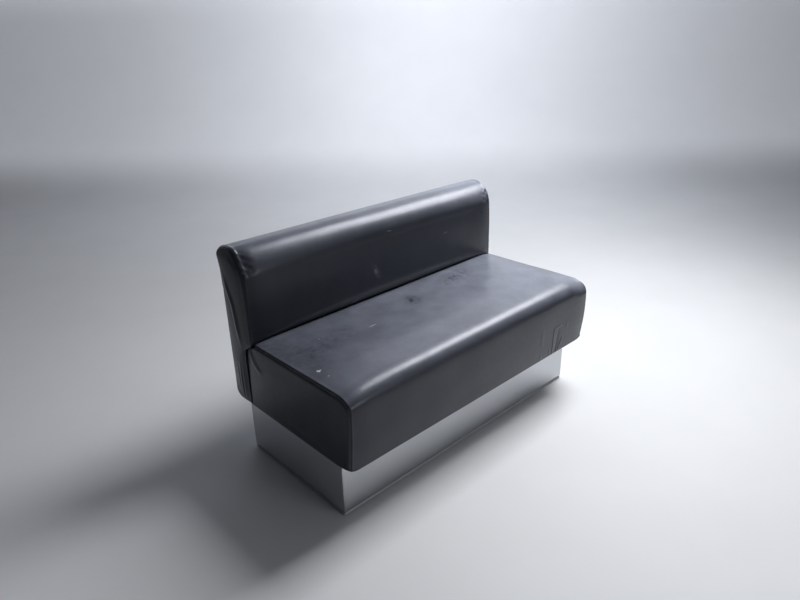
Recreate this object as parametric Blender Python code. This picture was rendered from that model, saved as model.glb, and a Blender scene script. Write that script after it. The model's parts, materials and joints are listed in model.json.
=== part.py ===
# Armless two-seat bench: an upholstered seat and back on a closed, metal-faced plinth.
# Metres, +Z up, +X along the bench, +Y to its back. The origin lies on the floor,
# below the middle of the whole bench.

import math

import bmesh
import bpy

# Whole bench
LENGTH = 1.200
DEPTH = 0.634
HEIGHT = 0.770
SEAT_BASE = 0.203            # floor to the underside of the upholstery
SEAT_HEIGHT = 0.455          # floor to the seat's top, along its end seams

# Fits and sheet materials
GAP = 0.0003                 # left between pieces that touch
JOINT_GAP = 0.0006           # left between the seat's rear and the back
COVER = 0.0012               # leatherette
DUST_COVER = 0.0008          # black cloth below the seat frame
PAD = 0.014                  # edge foam on the rails
PAD_HEEL = 0.003             # least width of an edge pad where its lower corner runs out
TURN_UNDER = 0.025           # cover folded under the frame, beyond its lower corner

# Seat shape
FRONT_LEAN = 0.012           # the front face leans out by this from foot to roll
FRONT_ROLL = 0.085           # depth of the rolled front edge
REAR_ROLL = 0.068            # depth of the rounding that the back presses on
EDGE_RISE = 0.057            # height of both roundings
SEAT_CROWN = 0.008
SEAT_TAPER = 0.0045          # each end draws in by this from base to top
DIP_FRONT = 0.007            # the front draws back to its end seams
DIP_TOP = 0.003              # the top draws down to its end seams
EDGE_RUN = 0.030             # distance over which a cover draws in to a seam
END_BULGE = 0.002
CORNER_ROUND = 0.004         # rounding of the ends at the front corner
CORNER_START = 0.94          # share of the end's depth where that rounding starts

# Back shape
BACK_THICKNESS = 0.096       # behind the seat
BACK_PADDING = 0.0525        # padding that stands forward over the seat
NOSE = 0.010                 # rounding of the padding's lower edge
NOSE_RISE = 0.020
BACK_LEAN = 0.006
BACK_CROWN = 0.006
FACE_CROWN = 0.003
BACK_DIP = 0.004             # the cover draws in to the end seams
TOP_ROLL = 0.078             # depth of the bullnose at the front
TOP_RISE = 0.090
TOP_FLAT = 0.004
REAR_RISE = 0.060            # height of the bullnose at the rear
FOOT_ROUND = 0.036           # rounding of the lower rear corner
SEAT_COVER_FOOT = 0.310      # lower edges of the covers between seat and back
REAR_SEAM = 0.620            # where the main cover meets the outside back

# Seat frame
RAIL = 0.028
RAIL_HEIGHT = 0.088
DECK = 0.012
CROSS_SET = 0.3755           # end of the frame to the middle of a cross rail
HOUSING = 0.006              # depth of the housings for the cross rails

# Back frame
BOARD = 0.006
STILE = 0.032
TOP_RAIL = 0.045
FOOT_RAIL = 0.075

# Plinth
PLINTH_END_SET = 0.020
PLINTH_FRONT_SET = 0.0765
PLINTH_REAR_SET = 0.0545
PANEL = 0.018
MITRE_GAP = 0.0006
PANEL_FOOT = 0.0148          # floor to the panels' lower edges
BLOCK = 0.042
RIB = 0.018
CLEAT = 0.030
CLEAT_WIDTH = 0.060
CLEAT_MARGIN = 0.021         # cleat in front of the rear screws
SEAL_FOOT = 0.0035
SEAL_STRIP = 0.0062
SEAL_SHOULDER = 0.0008
SEAL_GROOVE = 0.0030         # depth of the dark groove above the strip

# Fasteners and glides
SCREW_R = 0.0025
SCREW_HEAD_R = 0.005
SCREW_HEAD = 0.003
SCREW_BITE = 0.034
REAR_SCREW_SET = 0.2255      # end of the frame to a rear screw
BOLT_R = 0.004
BOLT_HEAD_R = 0.0075
BOLT_HEAD = 0.0053
BOLT_BITE = 0.035
BOLT_RISE = 0.038            # above the underside of the rails
BOLT_END_SET = 0.0435        # inner face of an end stile to an outer bolt
BOLT_CROSS_SET = 0.016       # side of a cross rail to an inner bolt
GLIDE_R = 0.013
GLIDE_HEAD = 0.006
GLIDE_EDGE = 0.0015
GLIDE_NAIL_R = 0.002
GLIDE_NAIL = 0.018

# Grid steps of the soft forms
HEM_STEPS = 3
ROLL_STEPS = 6
BELLY_STEPS = 6
NOSE_STEPS = 3
BACK_FACE_STEPS = 4
TOP_STEPS = 8
FOOT_STEPS = 5
SIDES = 12
DIAGONAL_TILT = 0.37         # weight of the height where a face's diagonal is chosen
SHARP_ANGLE = math.radians(40)
FOAM_START = 3               # row of the back's front where its foam starts
COLUMNS = (0.0, 0.2, 0.4, 0.6, 0.8, 0.94, 0.97, 1.0)
BACK_COLUMNS = (0.0, 0.25, 0.5, 0.75, 1.0)
SEAM_STATIONS = (0.0, 0.008, 0.018)
MIDDLE_STATIONS = 6

# Levels and planes that follow from the sizes
Y_FRONT = -DEPTH / 2
Y_REAR = DEPTH / 2
Y_FOOT = Y_FRONT + FRONT_LEAN
Y_BACK = Y_REAR - BACK_THICKNESS
Y_SEAT_REAR = Y_BACK - JOINT_GAP
Y_FACE = Y_BACK - BACK_PADDING
Y_ROLL_MID = Y_SEAT_REAR - REAR_ROLL
SKIN = COVER + GAP
HEM_RADIUS = SKIN + PAD
EDGE_Z = SEAT_HEIGHT - EDGE_RISE
BACK_TOP = HEIGHT - BACK_CROWN
ROLL_Z = BACK_TOP - TOP_RISE
REAR_ROLL_Z = BACK_TOP - REAR_RISE
REAR_TOP = Y_REAR - Y_FACE - BACK_LEAN - TOP_ROLL - TOP_FLAT
BELLY_END = math.acos((Y_FACE + NOSE - Y_ROLL_MID) / (REAR_ROLL + JOINT_GAP))
END_HALF = LENGTH / 2 - END_BULGE

RAIL_Z = SEAT_BASE + SKIN
RAIL_TOP = RAIL_Z + RAIL_HEIGHT
DECK_TOP = RAIL_TOP + GAP + DECK
RAIL_END = END_HALF - CORNER_ROUND - HEM_RADIUS - PAD_HEEL
CROSS_X = RAIL_END - CROSS_SET
REAR_SCREW_X = RAIL_END - REAR_SCREW_SET
OUTER_BOLT_X = RAIL_END - STILE - BOLT_END_SET
INNER_BOLT_X = CROSS_X - RAIL / 2 - BOLT_CROSS_SET
RAIL_FRONT = Y_FOOT + HEM_RADIUS + PAD_HEEL
RAIL_REAR = Y_SEAT_REAR - SKIN
REAR_RAIL_FRONT = RAIL_REAR - RAIL
REAR_RAIL_MID = RAIL_REAR - RAIL / 2
Y_BOARD = Y_BACK + SKIN
Y_STILE = Y_BOARD + BOARD + GAP
FRAME_REAR = Y_REAR - SKIN

PLINTH_X = LENGTH / 2 - PLINTH_END_SET
PLINTH_FRONT = Y_FRONT + PLINTH_FRONT_SET
PLINTH_REAR = Y_REAR - PLINTH_REAR_SET
PLINTH_TOP = SEAT_BASE - GAP
INNER_X = PLINTH_X - PANEL - GAP
INNER_FRONT = PLINTH_FRONT + PANEL + GAP
INNER_REAR = PLINTH_REAR - PANEL - GAP
CLEAT_FOOT = PLINTH_TOP - CLEAT

LEATHERETTE = ((0.030, 0.032, 0.037), 0.42, 0.0)
FOAM = ((0.72, 0.66, 0.48), 0.95, 0.0)
SOFTWOOD = ((0.62, 0.44, 0.26), 0.70, 0.0)
PLYWOOD = ((0.58, 0.42, 0.25), 0.75, 0.0)
CHIPBOARD = ((0.48, 0.32, 0.15), 0.85, 0.0)
BLACK_CLOTH = ((0.015, 0.015, 0.016), 0.95, 0.0)
FOILED_BOARD = ((0.56, 0.57, 0.59), 0.36, 0.85)
GREY_PLASTIC = ((0.33, 0.34, 0.35), 0.45, 0.0)
BLACK_PLASTIC = ((0.03, 0.03, 0.03), 0.50, 0.0)
ZINC_STEEL = ((0.62, 0.63, 0.65), 0.35, 1.0)


def steps(count):
    return [k / count for k in range(count + 1)]


def mix(a, b, share):
    return a + (b - a) * share


def quarter(share):
    return share * math.pi / 2


def round_off(distance, radius_along, radius_across):
    """Width of an elliptic rounding at a distance from its centre line."""
    share = min(1.0, max(0.0, distance / radius_along))
    return radius_across * math.sqrt(1.0 - share * share)


# Objects and finishes

def clear_scene():
    for old in list(bpy.data.objects):
        bpy.data.objects.remove(old, do_unlink=True)


def group(name):
    empty = bpy.data.objects.new(name, None)
    bpy.context.scene.collection.objects.link(empty)
    return empty


def add(name, bm, finish, parent, location=(0, 0, 0), rotation=(0, 0, 0)):
    bmesh.ops.recalc_face_normals(bm, faces=bm.faces)
    mesh = bpy.data.meshes.new(name)
    bm.to_mesh(mesh)
    bm.free()
    obj = bpy.data.objects.new(name, mesh)
    obj.location = location
    obj.rotation_euler = rotation
    obj.parent = parent
    bpy.context.scene.collection.objects.link(obj)
    if finish:
        colour, roughness, metallic = finish
        material = bpy.data.materials.new(name + "_finish")
        material.use_nodes = True
        shader = material.node_tree.nodes["Principled BSDF"]
        shader.inputs["Base Color"].default_value = (*colour, 1.0)
        shader.inputs["Roughness"].default_value = roughness
        shader.inputs["Metallic"].default_value = metallic
        mesh.materials.append(material)
    else:
        obj.hide_render = True
        obj.display_type = "WIRE"
    return obj


def lean(diagonal):
    return diagonal.x * (diagonal.y + DIAGONAL_TILT * diagonal.z) + diagonal.y * diagonal.z


def split_faces(a, b, c, d):
    """Two triangles whose shared edge leans the same way on a cover and on the foam below it."""
    if lean(c.co - a.co) >= lean(d.co - b.co):
        return (a, b, c), (a, c, d)
    return (a, b, d), (b, c, d)


def block(name, counts, place, finish, parent, smooth=False):
    """Closed skin of a curved block; place(i, j, k) gives each corner of its grid."""
    bm = bmesh.new()
    corners = {}

    def corner(key):
        if key not in corners:
            corners[key] = bm.verts.new(place(*key))
        return corners[key]

    for axis in range(3):
        across, up = [n for n in range(3) if n != axis]
        for end in (0, counts[axis]):
            for a in range(counts[across]):
                for b in range(counts[up]):
                    keys = []
                    for da, db in ((0, 0), (1, 0), (1, 1), (0, 1)):
                        key = [0, 0, 0]
                        key[axis] = end
                        key[across] = a + da
                        key[up] = b + db
                        keys.append(tuple(key))
                    for face in split_faces(*[corner(key) for key in keys]):
                        bm.faces.new(face)
    obj = add(name, bm, finish, parent)
    if smooth:
        obj.data.shade_smooth()
        obj.data.set_sharp_from_angle(angle=SHARP_ANGLE)
    return obj


def box(name, low, high, finish, parent):
    size = [b - a for a, b in zip(low, high)]
    middle = [(a + b) / 2 for a, b in zip(low, high)]
    bm = bmesh.new()
    bmesh.ops.create_cube(bm, size=1.0)
    bmesh.ops.scale(bm, vec=size, verts=bm.verts)
    return add(name, bm, finish, parent, middle)


def turned(name, profile, finish, parent, location, rotation=(0, 0, 0)):
    """Round piece about its own Z from (radius, height, hexagonal) points, closed at both ends."""
    bm = bmesh.new()
    rings = []
    for radius, height, hexagonal in profile:
        ring = []
        for k in range(SIDES):
            reach = radius
            if hexagonal and k % 2:
                reach = radius * math.cos(math.pi / 6)
            angle = 2 * math.pi * k / SIDES
            ring.append(bm.verts.new((reach * math.cos(angle), reach * math.sin(angle), height)))
        rings.append(ring)
    for low, high in zip(rings, rings[1:]):
        for k in range(SIDES):
            n = (k + 1) % SIDES
            bm.faces.new((low[k], low[n], high[n], high[k]))
    bm.faces.new(rings[0])
    bm.faces.new(rings[-1])
    return add(name, bm, finish, parent, location, rotation)


def cut(targets, cutter):
    for target in targets:
        hole = target.modifiers.new("cut_" + cutter.name, "BOOLEAN")
        hole.operation = "DIFFERENCE"
        hole.solver = "EXACT"
        hole.object = cutter


# Seat form

def seat_end(z, v):
    """Half-length of the seat at a height and a depth share, 0 at its rear and 1 at its front."""
    rise = (z - SEAT_BASE) / (SEAT_HEIGHT - SEAT_BASE)
    swell = END_BULGE * (1 - (2 * v - 1) ** 2) * (1 - (2 * rise - 1) ** 2)
    corner = max(0.0, (v - CORNER_START) / (1 - CORNER_START))
    return END_HALF - SEAT_TAPER * rise + swell - CORNER_ROUND * corner ** 2


def hem_turn(z, inset):
    """How far the rounded lower edge turns in below its face."""
    drop = max(0.0, SEAT_BASE + HEM_RADIUS - z)
    return HEM_RADIUS - round_off(drop, HEM_RADIUS - inset, HEM_RADIUS - inset)


def seat_face_y(z, inset, edge):
    low = SEAT_BASE + HEM_RADIUS
    share = (EDGE_Z - z) / (EDGE_Z - low)
    return Y_FRONT + FRONT_LEAN * share ** 2 + inset + DIP_FRONT * edge


def face_heights():
    """Rows of the seat's upright faces: pads reach up to the deck, the block stands on it."""
    low = SEAT_BASE + HEM_RADIUS
    return (low, mix(low, DECK_TOP, 0.5), DECK_TOP, mix(DECK_TOP, EDGE_Z, 0.5), EDGE_Z)


def seat_hem(inset, edge):
    """Lower front corner as (y, z, turn) points, from the underside to the face."""
    reach = HEM_RADIUS - inset
    points = []
    for a in steps(HEM_STEPS):
        turn = HEM_RADIUS - reach * math.sin(quarter(a))
        z = SEAT_BASE + HEM_RADIUS - reach * math.cos(quarter(a))
        points.append((Y_FOOT + turn + DIP_FRONT * edge * math.sin(quarter(a)), z, turn))
    return points


def seat_roll(inset, edge):
    """Rolled front edge as (y, z) points, from the face to the top."""
    across = FRONT_ROLL - inset - DIP_FRONT * edge
    up = EDGE_RISE - inset - DIP_TOP * edge
    points = []
    for a in steps(ROLL_STEPS):
        y = Y_FRONT + FRONT_ROLL - across * math.cos(quarter(a))
        points.append((y, EDGE_Z + up * math.sin(quarter(a))))
    return points


def seat_rear_y(z, inset, edge):
    along = EDGE_RISE - inset - DIP_TOP * edge
    across = REAR_ROLL - inset - DIP_TOP * edge
    return Y_ROLL_MID + round_off(z - EDGE_Z, along, across)


def crown(u, v):
    return SEAT_CROWN * (1 - u ** 4) * (1 - (2 * v - 1) ** 2) ** 2


def stations(half):
    """Shares of the half-length, close together where a cover draws in to its seams."""
    ends = [1 - run / half for run in SEAM_STATIONS]
    start = 1 - EDGE_RUN / half
    middle = [start * (1 - 2 * t) for t in steps(MIDDLE_STATIONS)]
    return [-u for u in ends] + [-u for u in middle] + ends[::-1]


STATIONS = stations(END_HALF)


def edge_share(u):
    run = END_HALF * (1 - abs(u)) / EDGE_RUN
    return max(0.0, 1 - run) ** 2


def seat_path(inset, edge):
    """Section of the main cover as (y, z, v, turn): hem, front, roll, top, rear rounding, rear."""
    under = HEM_RADIUS + TURN_UNDER
    path = [(Y_FOOT + under, SEAT_BASE + inset, 1.0, under)]
    for y, z, turn in seat_hem(inset, edge):
        path.append((y, z, 1.0, turn))
    for z in face_heights()[1:-1]:
        path.append((seat_face_y(z, inset, edge), z, 1.0, 0.0))
    for y, z in seat_roll(inset, edge):
        path.append((y, z, 1.0, 0.0))
    top = SEAT_HEIGHT - inset - DIP_TOP * edge
    for v in COLUMNS[-2:0:-1]:
        path.append((mix(Y_ROLL_MID, Y_FRONT + FRONT_ROLL, v), top, v, 0.0))
    up = EDGE_RISE - inset - DIP_TOP * edge
    across = REAR_ROLL - inset - DIP_TOP * edge
    for a in steps(ROLL_STEPS)[::-1]:
        y = Y_ROLL_MID + across * math.cos(quarter(a))
        path.append((y, EDGE_Z + up * math.sin(quarter(a)), 0.0, 0.0))
    path.append((path[-1][0], SEAT_COVER_FOOT, 0.0, 0.0))
    return path


def make_seat_cover(parent):
    count = len(seat_path(0.0, 0.0))

    def place(i, j, k):
        u = STATIONS[i]
        y, z, v, turn = seat_path(COVER * k, edge_share(u))[j]
        x = u * (seat_end(max(z, SEAT_BASE), v) - SKIN - turn)
        return x, y, z + crown(u, v)

    counts = (len(STATIONS) - 1, count - 1, 1)
    return block("seat_cover_main", counts, place, LEATHERETTE, parent, True)


def seat_rows(inset):
    """Rows of an end panel as (z, turn, rear y, front y), from its folded hem to the top seam."""
    under = HEM_RADIUS + TURN_UNDER
    rows = [(SEAT_BASE + inset, under, Y_SEAT_REAR, Y_FOOT + DIP_FRONT + under)]
    outline = seat_hem(0.0, 1.0)
    for row, (y, z, turn) in zip(seat_hem(inset, 1.0), outline):
        rows.append((row[1], row[2], seat_rear_y(z, 0.0, 1.0), y))
    for z in face_heights()[1:-1]:
        rows.append((z, inset, seat_rear_y(z, 0.0, 1.0), seat_face_y(z, 0.0, 1.0)))
    for y, z in seat_roll(0.0, 1.0):
        rows.append((z, inset, seat_rear_y(z, 0.0, 1.0), y))
    return rows


def make_end_cover(name, side, rows_at, end_at, columns, parent):
    """Sewn end panel; end_at(z, y, share) gives its reach along X."""
    rows = (rows_at(0.0), rows_at(COVER))

    def place(i, j, k):
        z, turn, rear, front = rows[k][i]
        y = mix(rear, front, columns[j])
        return side * (end_at(z, y, columns[j]) - turn), y, z

    counts = (len(rows[0]) - 1, len(columns) - 1, 1)
    return block(name, counts, place, LEATHERETTE, parent, True)


def make_seat_foam(parent):
    def rows(edge):
        points = []
        for z in (DECK_TOP + GAP, face_heights()[3]):
            points.append((seat_face_y(z, SKIN, edge), z))
        return points + seat_roll(SKIN, edge)

    last = len(rows(0.0)) - 1

    def place(i, j, k):
        u = STATIONS[i]
        v = COLUMNS[j]
        edge = edge_share(u)
        front, z = rows(edge)[k]
        y = mix(seat_rear_y(z, SKIN, edge), front, v)
        lift = crown(u, v) if k == last else 0.0
        return u * (seat_end(z, v) - SKIN), y, z + lift

    counts = (len(STATIONS) - 1, len(COLUMNS) - 1, last)
    return block("seat_foam", counts, place, FOAM, parent, True)


def make_front_pad(parent):
    def rows(edge):
        points = [(y, z, turn) for y, z, turn in seat_hem(SKIN, edge)[:-1]]
        for z in face_heights()[:3]:
            points.append((seat_face_y(z, SKIN, edge), z, SKIN))
        return points

    def place(i, j, k):
        u = STATIONS[i]
        y, z, turn = rows(edge_share(u))[k]
        x = u * (seat_end(z, 1.0) - SKIN - turn)
        return x, RAIL_FRONT - GAP if j else y, z

    counts = (len(STATIONS) - 1, 1, len(rows(0.0)) - 1)
    return block("seat_front_pad", counts, place, FOAM, parent, True)


def make_end_pad(name, side, rows_at, end_at, inner, columns, parent):
    """Edge pad between a rail's outer face and the end cover."""
    rows = rows_at()

    def place(i, j, k):
        z, turn, rear, front, outline = rows[i]
        y = mix(rear, front, columns[j])
        share = (Y_SEAT_REAR - y) / (Y_SEAT_REAR - outline)
        outer = end_at(z, y, share) - turn
        return side * (inner if k else outer), y, z

    counts = (len(rows) - 1, len(columns) - 1, 1)
    return block(name, counts, place, FOAM, parent, True)


def seat_pad_rows():
    """Rows of a seat end pad, which stops where the rounding of the front corner starts."""
    front = mix(Y_SEAT_REAR, Y_FOOT + HEM_RADIUS, CORNER_START)
    rows = []
    for (y, z, turn), outline in zip(seat_hem(SKIN, 1.0)[:-1], seat_hem(0.0, 1.0)):
        rows.append((z, turn, RAIL_REAR, front, outline[0]))
    for z in face_heights()[:3]:
        rows.append((z, SKIN, RAIL_REAR, front, seat_face_y(z, 0.0, 1.0)))
    return rows


def seat_end_at(z, y, share):
    return seat_end(z, share)


# Back form

def back_end(z, y):
    """Half-length of the back at a height and a depth; its ends swell between their seams."""
    rise = (z - SEAT_BASE) / (BACK_TOP - SEAT_BASE)
    share = (Y_REAR - y) / (Y_REAR - Y_FACE)
    return END_HALF + END_BULGE * (1 - (2 * share - 1) ** 2) * (1 - (2 * rise - 1) ** 2)


def back_front(inset, edge):
    """Front of the back as (y, z, lift, swell) rows, from above its foot to the top."""
    draw = inset + BACK_DIP * edge
    rows = [(Y_BACK + inset, SEAT_COVER_FOOT, 0.0, 0.0)]
    across = REAR_ROLL + JOINT_GAP + inset
    up = EDGE_RISE + JOINT_GAP + inset
    for t in steps(BELLY_STEPS):
        angle = BELLY_END * t
        rows.append((Y_ROLL_MID + across * math.cos(angle), EDGE_Z + up * math.sin(angle), 0.0, 0.0))
    y_end, z_end = rows[-1][:2]
    face = Y_FACE + draw
    for t in steps(NOSE_STEPS)[1:]:
        y = y_end + (face - y_end) * math.sin(quarter(t))
        rows.append((y, z_end + NOSE_RISE * (1 - math.cos(quarter(t))), 0.0, 0.0))
    z_face = z_end + NOSE_RISE
    for t in steps(BACK_FACE_STEPS)[1:]:
        rows.append((face + BACK_LEAN * t * t, mix(z_face, ROLL_Z, t), 0.0, 4 * t * (1 - t)))
    for t in steps(TOP_STEPS)[1:]:
        y = Y_FACE + BACK_LEAN + TOP_ROLL - (TOP_ROLL - draw) * math.cos(quarter(t))
        z = ROLL_Z + (TOP_RISE - draw) * math.sin(quarter(t))
        rows.append((y, z, math.sin(quarter(t)), 0.0))
    return rows


def back_rear_y(z, inset, edge):
    draw = inset + BACK_DIP * edge
    low = SEAT_BASE + FOOT_ROUND
    if z < low:
        return Y_REAR - FOOT_ROUND + round_off(low - z, FOOT_ROUND - inset, FOOT_ROUND - draw)
    return Y_REAR - REAR_TOP + round_off(z - REAR_ROLL_Z, REAR_RISE - draw, REAR_TOP - draw)


def back_path(inset, edge):
    """Section of the main cover as (y, z, lift, swell), from front foot over the top to the rear."""
    front = back_front(inset, edge)
    rear = []
    for y, z, lift, swell in front[-TOP_STEPS - 1:][::-1]:
        rear.append((back_rear_y(z, inset, edge), z, lift, 0.0))
    rear.append((back_rear_y(REAR_SEAM, inset, edge), REAR_SEAM, 0.0, 0.0))
    return front + rear


def back_point(u, y, z, lift, swell):
    share = 1 - u ** 4
    return y - FACE_CROWN * swell * share, z + BACK_CROWN * lift * share


def make_back_cover(parent):
    count = len(back_path(0.0, 0.0))

    def place(i, j, k):
        u = STATIONS[i]
        point = back_path(COVER * k, edge_share(u))[j]
        return (u * (END_HALF - SKIN), *back_point(u, *point))

    counts = (len(STATIONS) - 1, count - 1, 1)
    return block("back_cover_main", counts, place, LEATHERETTE, parent, True)


def back_foot_heights(inset):
    """Heights and turns of the rounded lower edge of the back's ends."""
    reach = HEM_RADIUS - inset
    points = []
    for a in steps(HEM_STEPS):
        z = SEAT_BASE + HEM_RADIUS - reach * math.cos(quarter(a))
        points.append((z, HEM_RADIUS - reach * math.sin(quarter(a))))
    return points


def back_rows(inset):
    """Rows of an end panel as (z, turn, rear y, front y), from its folded hem to the top seam."""
    under = HEM_RADIUS + TURN_UNDER
    rows = [(SEAT_BASE + inset, under, Y_REAR - FOOT_ROUND - SKIN, Y_BACK)]
    for (z, turn), (outer_z, outer_turn) in zip(back_foot_heights(inset), back_foot_heights(0.0)):
        rows.append((z, turn, back_rear_y(outer_z, 0.0, 1.0), Y_BACK))
    low = SEAT_BASE + FOOT_ROUND
    rows.append((low, inset, back_rear_y(low, 0.0, 1.0), Y_BACK))
    for y, z, lift, swell in back_front(0.0, 1.0):
        rows.append((z, inset, back_rear_y(z, 0.0, 1.0), y))
    return rows


def make_back_foam(parent):
    def rows(edge):
        front = back_front(SKIN, edge)
        points = []
        for number, row in enumerate(front[FOAM_START:]):
            z = row[1]
            rear = (Y_BOARD - GAP, z)
            if number >= len(front) - FOAM_START - TOP_STEPS:
                rear = (back_rear_y(z, SKIN, edge), z)
            points.append((row, rear))
        ledge = len(points) - TOP_STEPS
        points[ledge] = (points[ledge][0], (back_rear_y(ROLL_Z, SKIN, edge), ROLL_Z))
        return points

    last = len(rows(0.0)) - 1

    def place(i, j, k):
        u = STATIONS[i]
        v = BACK_COLUMNS[j]
        (y, z, lift, swell), (rear_y, rear_z) = rows(edge_share(u))[k]
        share = 1 - u ** 4
        front_y = y - FACE_CROWN * swell * share
        rise = 0.0 if rear_z == ROLL_Z else BACK_CROWN * lift * share
        point_z = mix(rear_z + rise, z + BACK_CROWN * lift * share, v)
        point_y = mix(rear_y, front_y, v)
        return u * (back_end(z, point_y) - SKIN), point_y, point_z

    counts = (len(STATIONS) - 1, len(BACK_COLUMNS) - 1, last)
    return block("back_foam", counts, place, FOAM, parent, True)


def back_pad_rows():
    heights = back_foot_heights(SKIN)[:-1]
    low = SEAT_BASE + HEM_RADIUS
    for z in (low, SEAT_BASE + FOOT_ROUND, EDGE_Z, ROLL_Z - GAP):
        heights.append((z, SKIN))
    rows = []
    for z, turn in heights:
        rows.append((z, turn, back_rear_y(z, SKIN, 1.0), Y_BOARD, Y_FACE))
    return rows


def back_end_at(z, y, share):
    return back_end(z, y)


def make_rear_cover(parent):
    """Outside back: flat below the main cover, rounded under the frame at its foot."""
    def path(inset):
        points = [(Y_REAR - inset, REAR_SEAM - GAP)]
        reach = FOOT_ROUND - inset
        for a in steps(FOOT_STEPS):
            y = Y_REAR - FOOT_ROUND + reach * math.cos(quarter(a))
            points.append((y, SEAT_BASE + FOOT_ROUND - reach * math.sin(quarter(a))))
        return points

    def place(i, j, k):
        u = STATIONS[i]
        y, z = path(COVER * k)[j]
        outer_z = path(0.0)[j][1]
        draw = BACK_DIP * edge_share(u) * (outer_z - SEAT_BASE) / (REAR_SEAM - SEAT_BASE)
        return u * (END_HALF - SKIN - hem_turn(outer_z, 0.0)), y - draw, z

    counts = (len(STATIONS) - 1, FOOT_STEPS + 1, 1)
    return block("back_rear_cover", counts, place, LEATHERETTE, parent, True)


def make_stile(name, low_x, high_x, parent):
    """Upright whose lower rear corner follows the rounding of the outside back."""
    reach = FOOT_ROUND - SKIN
    rear = []
    for a in steps(FOOT_STEPS):
        z = SEAT_BASE + FOOT_ROUND - reach * math.cos(quarter(a))
        rear.append((Y_REAR - FOOT_ROUND + reach * math.sin(quarter(a)) - BACK_DIP, z))
    rear.append((FRAME_REAR - BACK_DIP, ROLL_Z - TOP_RAIL - 2 * GAP))

    def place(i, j, k):
        y, z = rear[k]
        return (high_x if i else low_x), (y if j else Y_STILE), z

    return block(name, (1, 1, len(rear) - 1), place, SOFTWOOD, parent)


# Sub-assemblies

def make_plinth(parent):
    pieces = {}

    def panel_place(outer, inner, run_outer, run_inner, along_x):
        def place(i, j, k):
            run = (run_inner if j else run_outer)[i]
            across = inner if j else outer
            z = PLINTH_TOP if k else PANEL_FOOT
            return (run, across, z) if along_x else (across, run, z)
        return place

    end = PLINTH_X - MITRE_GAP
    long_outer = (-end, end)
    long_inner = (-end + PANEL, end - PANEL)
    for name, outer, inner in (("front", PLINTH_FRONT, PLINTH_FRONT + PANEL),
                               ("rear", PLINTH_REAR, PLINTH_REAR - PANEL)):
        place = panel_place(outer, inner, long_outer, long_inner, True)
        block("plinth_%s_panel" % name, (1, 1, 1), place, FOILED_BOARD, parent)
    short_outer = (PLINTH_FRONT + MITRE_GAP, PLINTH_REAR - MITRE_GAP)
    short_inner = (short_outer[0] + PANEL, short_outer[1] - PANEL)
    for name, side in (("left", -1), ("right", 1)):
        place = panel_place(side * PLINTH_X, side * (PLINTH_X - PANEL), short_outer, short_inner, False)
        block("plinth_%s_panel" % name, (1, 1, 1), place, FOILED_BOARD, parent)

    strip_top = SEAL_FOOT + SEAL_STRIP
    seal_rows = ((SEAL_FOOT, 0.0), (strip_top, 0.0),
                 (strip_top + SEAL_SHOULDER, SEAL_GROOVE), (PANEL_FOOT - GAP, SEAL_GROOVE))

    def seal_place(outer, inward, ends, along_x):
        def place(i, j, k):
            z, groove = seal_rows[k]
            depth = PANEL - groove if j else groove
            mitre = depth if i == 0 else -depth
            run = ends[i] + mitre * (1 if ends[2 + i] else 0)
            across = outer + inward * depth
            return (run, across, z) if along_x else (across, run, z)
        return place

    ends = (-end, end, True, True)
    counts = (1, 1, len(seal_rows) - 1)
    block("plinth_front_seal", counts, seal_place(PLINTH_FRONT, 1, ends, True), GREY_PLASTIC, parent)
    for name, side in (("left", -1), ("right", 1)):
        ends = (PLINTH_FRONT + MITRE_GAP, PLINTH_REAR, True, False)
        place = seal_place(side * PLINTH_X, -side, ends, False)
        block("plinth_%s_seal" % name, counts, place, GREY_PLASTIC, parent)

    for end_name, side in (("left", -1), ("right", 1)):
        for row_name, y in (("front", INNER_FRONT), ("rear", INNER_REAR - BLOCK)):
            x = INNER_X - BLOCK if side > 0 else -INNER_X
            low = (x, y, GLIDE_HEAD + GAP)
            high = (x + BLOCK, y + BLOCK, PLINTH_TOP)
            name = "%s_%s" % (row_name, end_name)
            post = box("plinth_block_" + name, low, high, SOFTWOOD, parent)
            spot = (x + BLOCK / 2, y + BLOCK / 2, 0.0)
            nail_top = GLIDE_HEAD + GLIDE_NAIL
            glide = ((GLIDE_R - GLIDE_EDGE, 0.0, False), (GLIDE_R, GLIDE_EDGE, False),
                     (GLIDE_R, GLIDE_HEAD, False), (GLIDE_NAIL_R, GLIDE_HEAD, False),
                     (GLIDE_NAIL_R, nail_top, False))
            turned("floor_glide_" + name, glide, BLACK_PLASTIC, parent, spot)
            bore = ((GLIDE_NAIL_R + GAP, 0.0, False), (GLIDE_NAIL_R + GAP, nail_top + GAP, False))
            cut([post], turned("bore_glide_" + name, bore, None, parent, spot))

    cleat_x = INNER_X - BLOCK - GAP
    pieces["front_cleat"] = box(
        "plinth_front_cleat", (-cleat_x, INNER_FRONT, CLEAT_FOOT),
        (cleat_x, INNER_FRONT + CLEAT_WIDTH, PLINTH_TOP), SOFTWOOD, parent)
    pieces["rear_cleat"] = box(
        "plinth_rear_cleat", (-cleat_x, REAR_RAIL_MID - CLEAT_MARGIN, CLEAT_FOOT),
        (cleat_x, INNER_REAR, PLINTH_TOP), SOFTWOOD, parent)
    box("plinth_middle_rib", (-RIB / 2, INNER_FRONT, PANEL_FOOT),
        (RIB / 2, INNER_REAR, CLEAT_FOOT - GAP), CHIPBOARD, parent)
    return pieces


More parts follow.
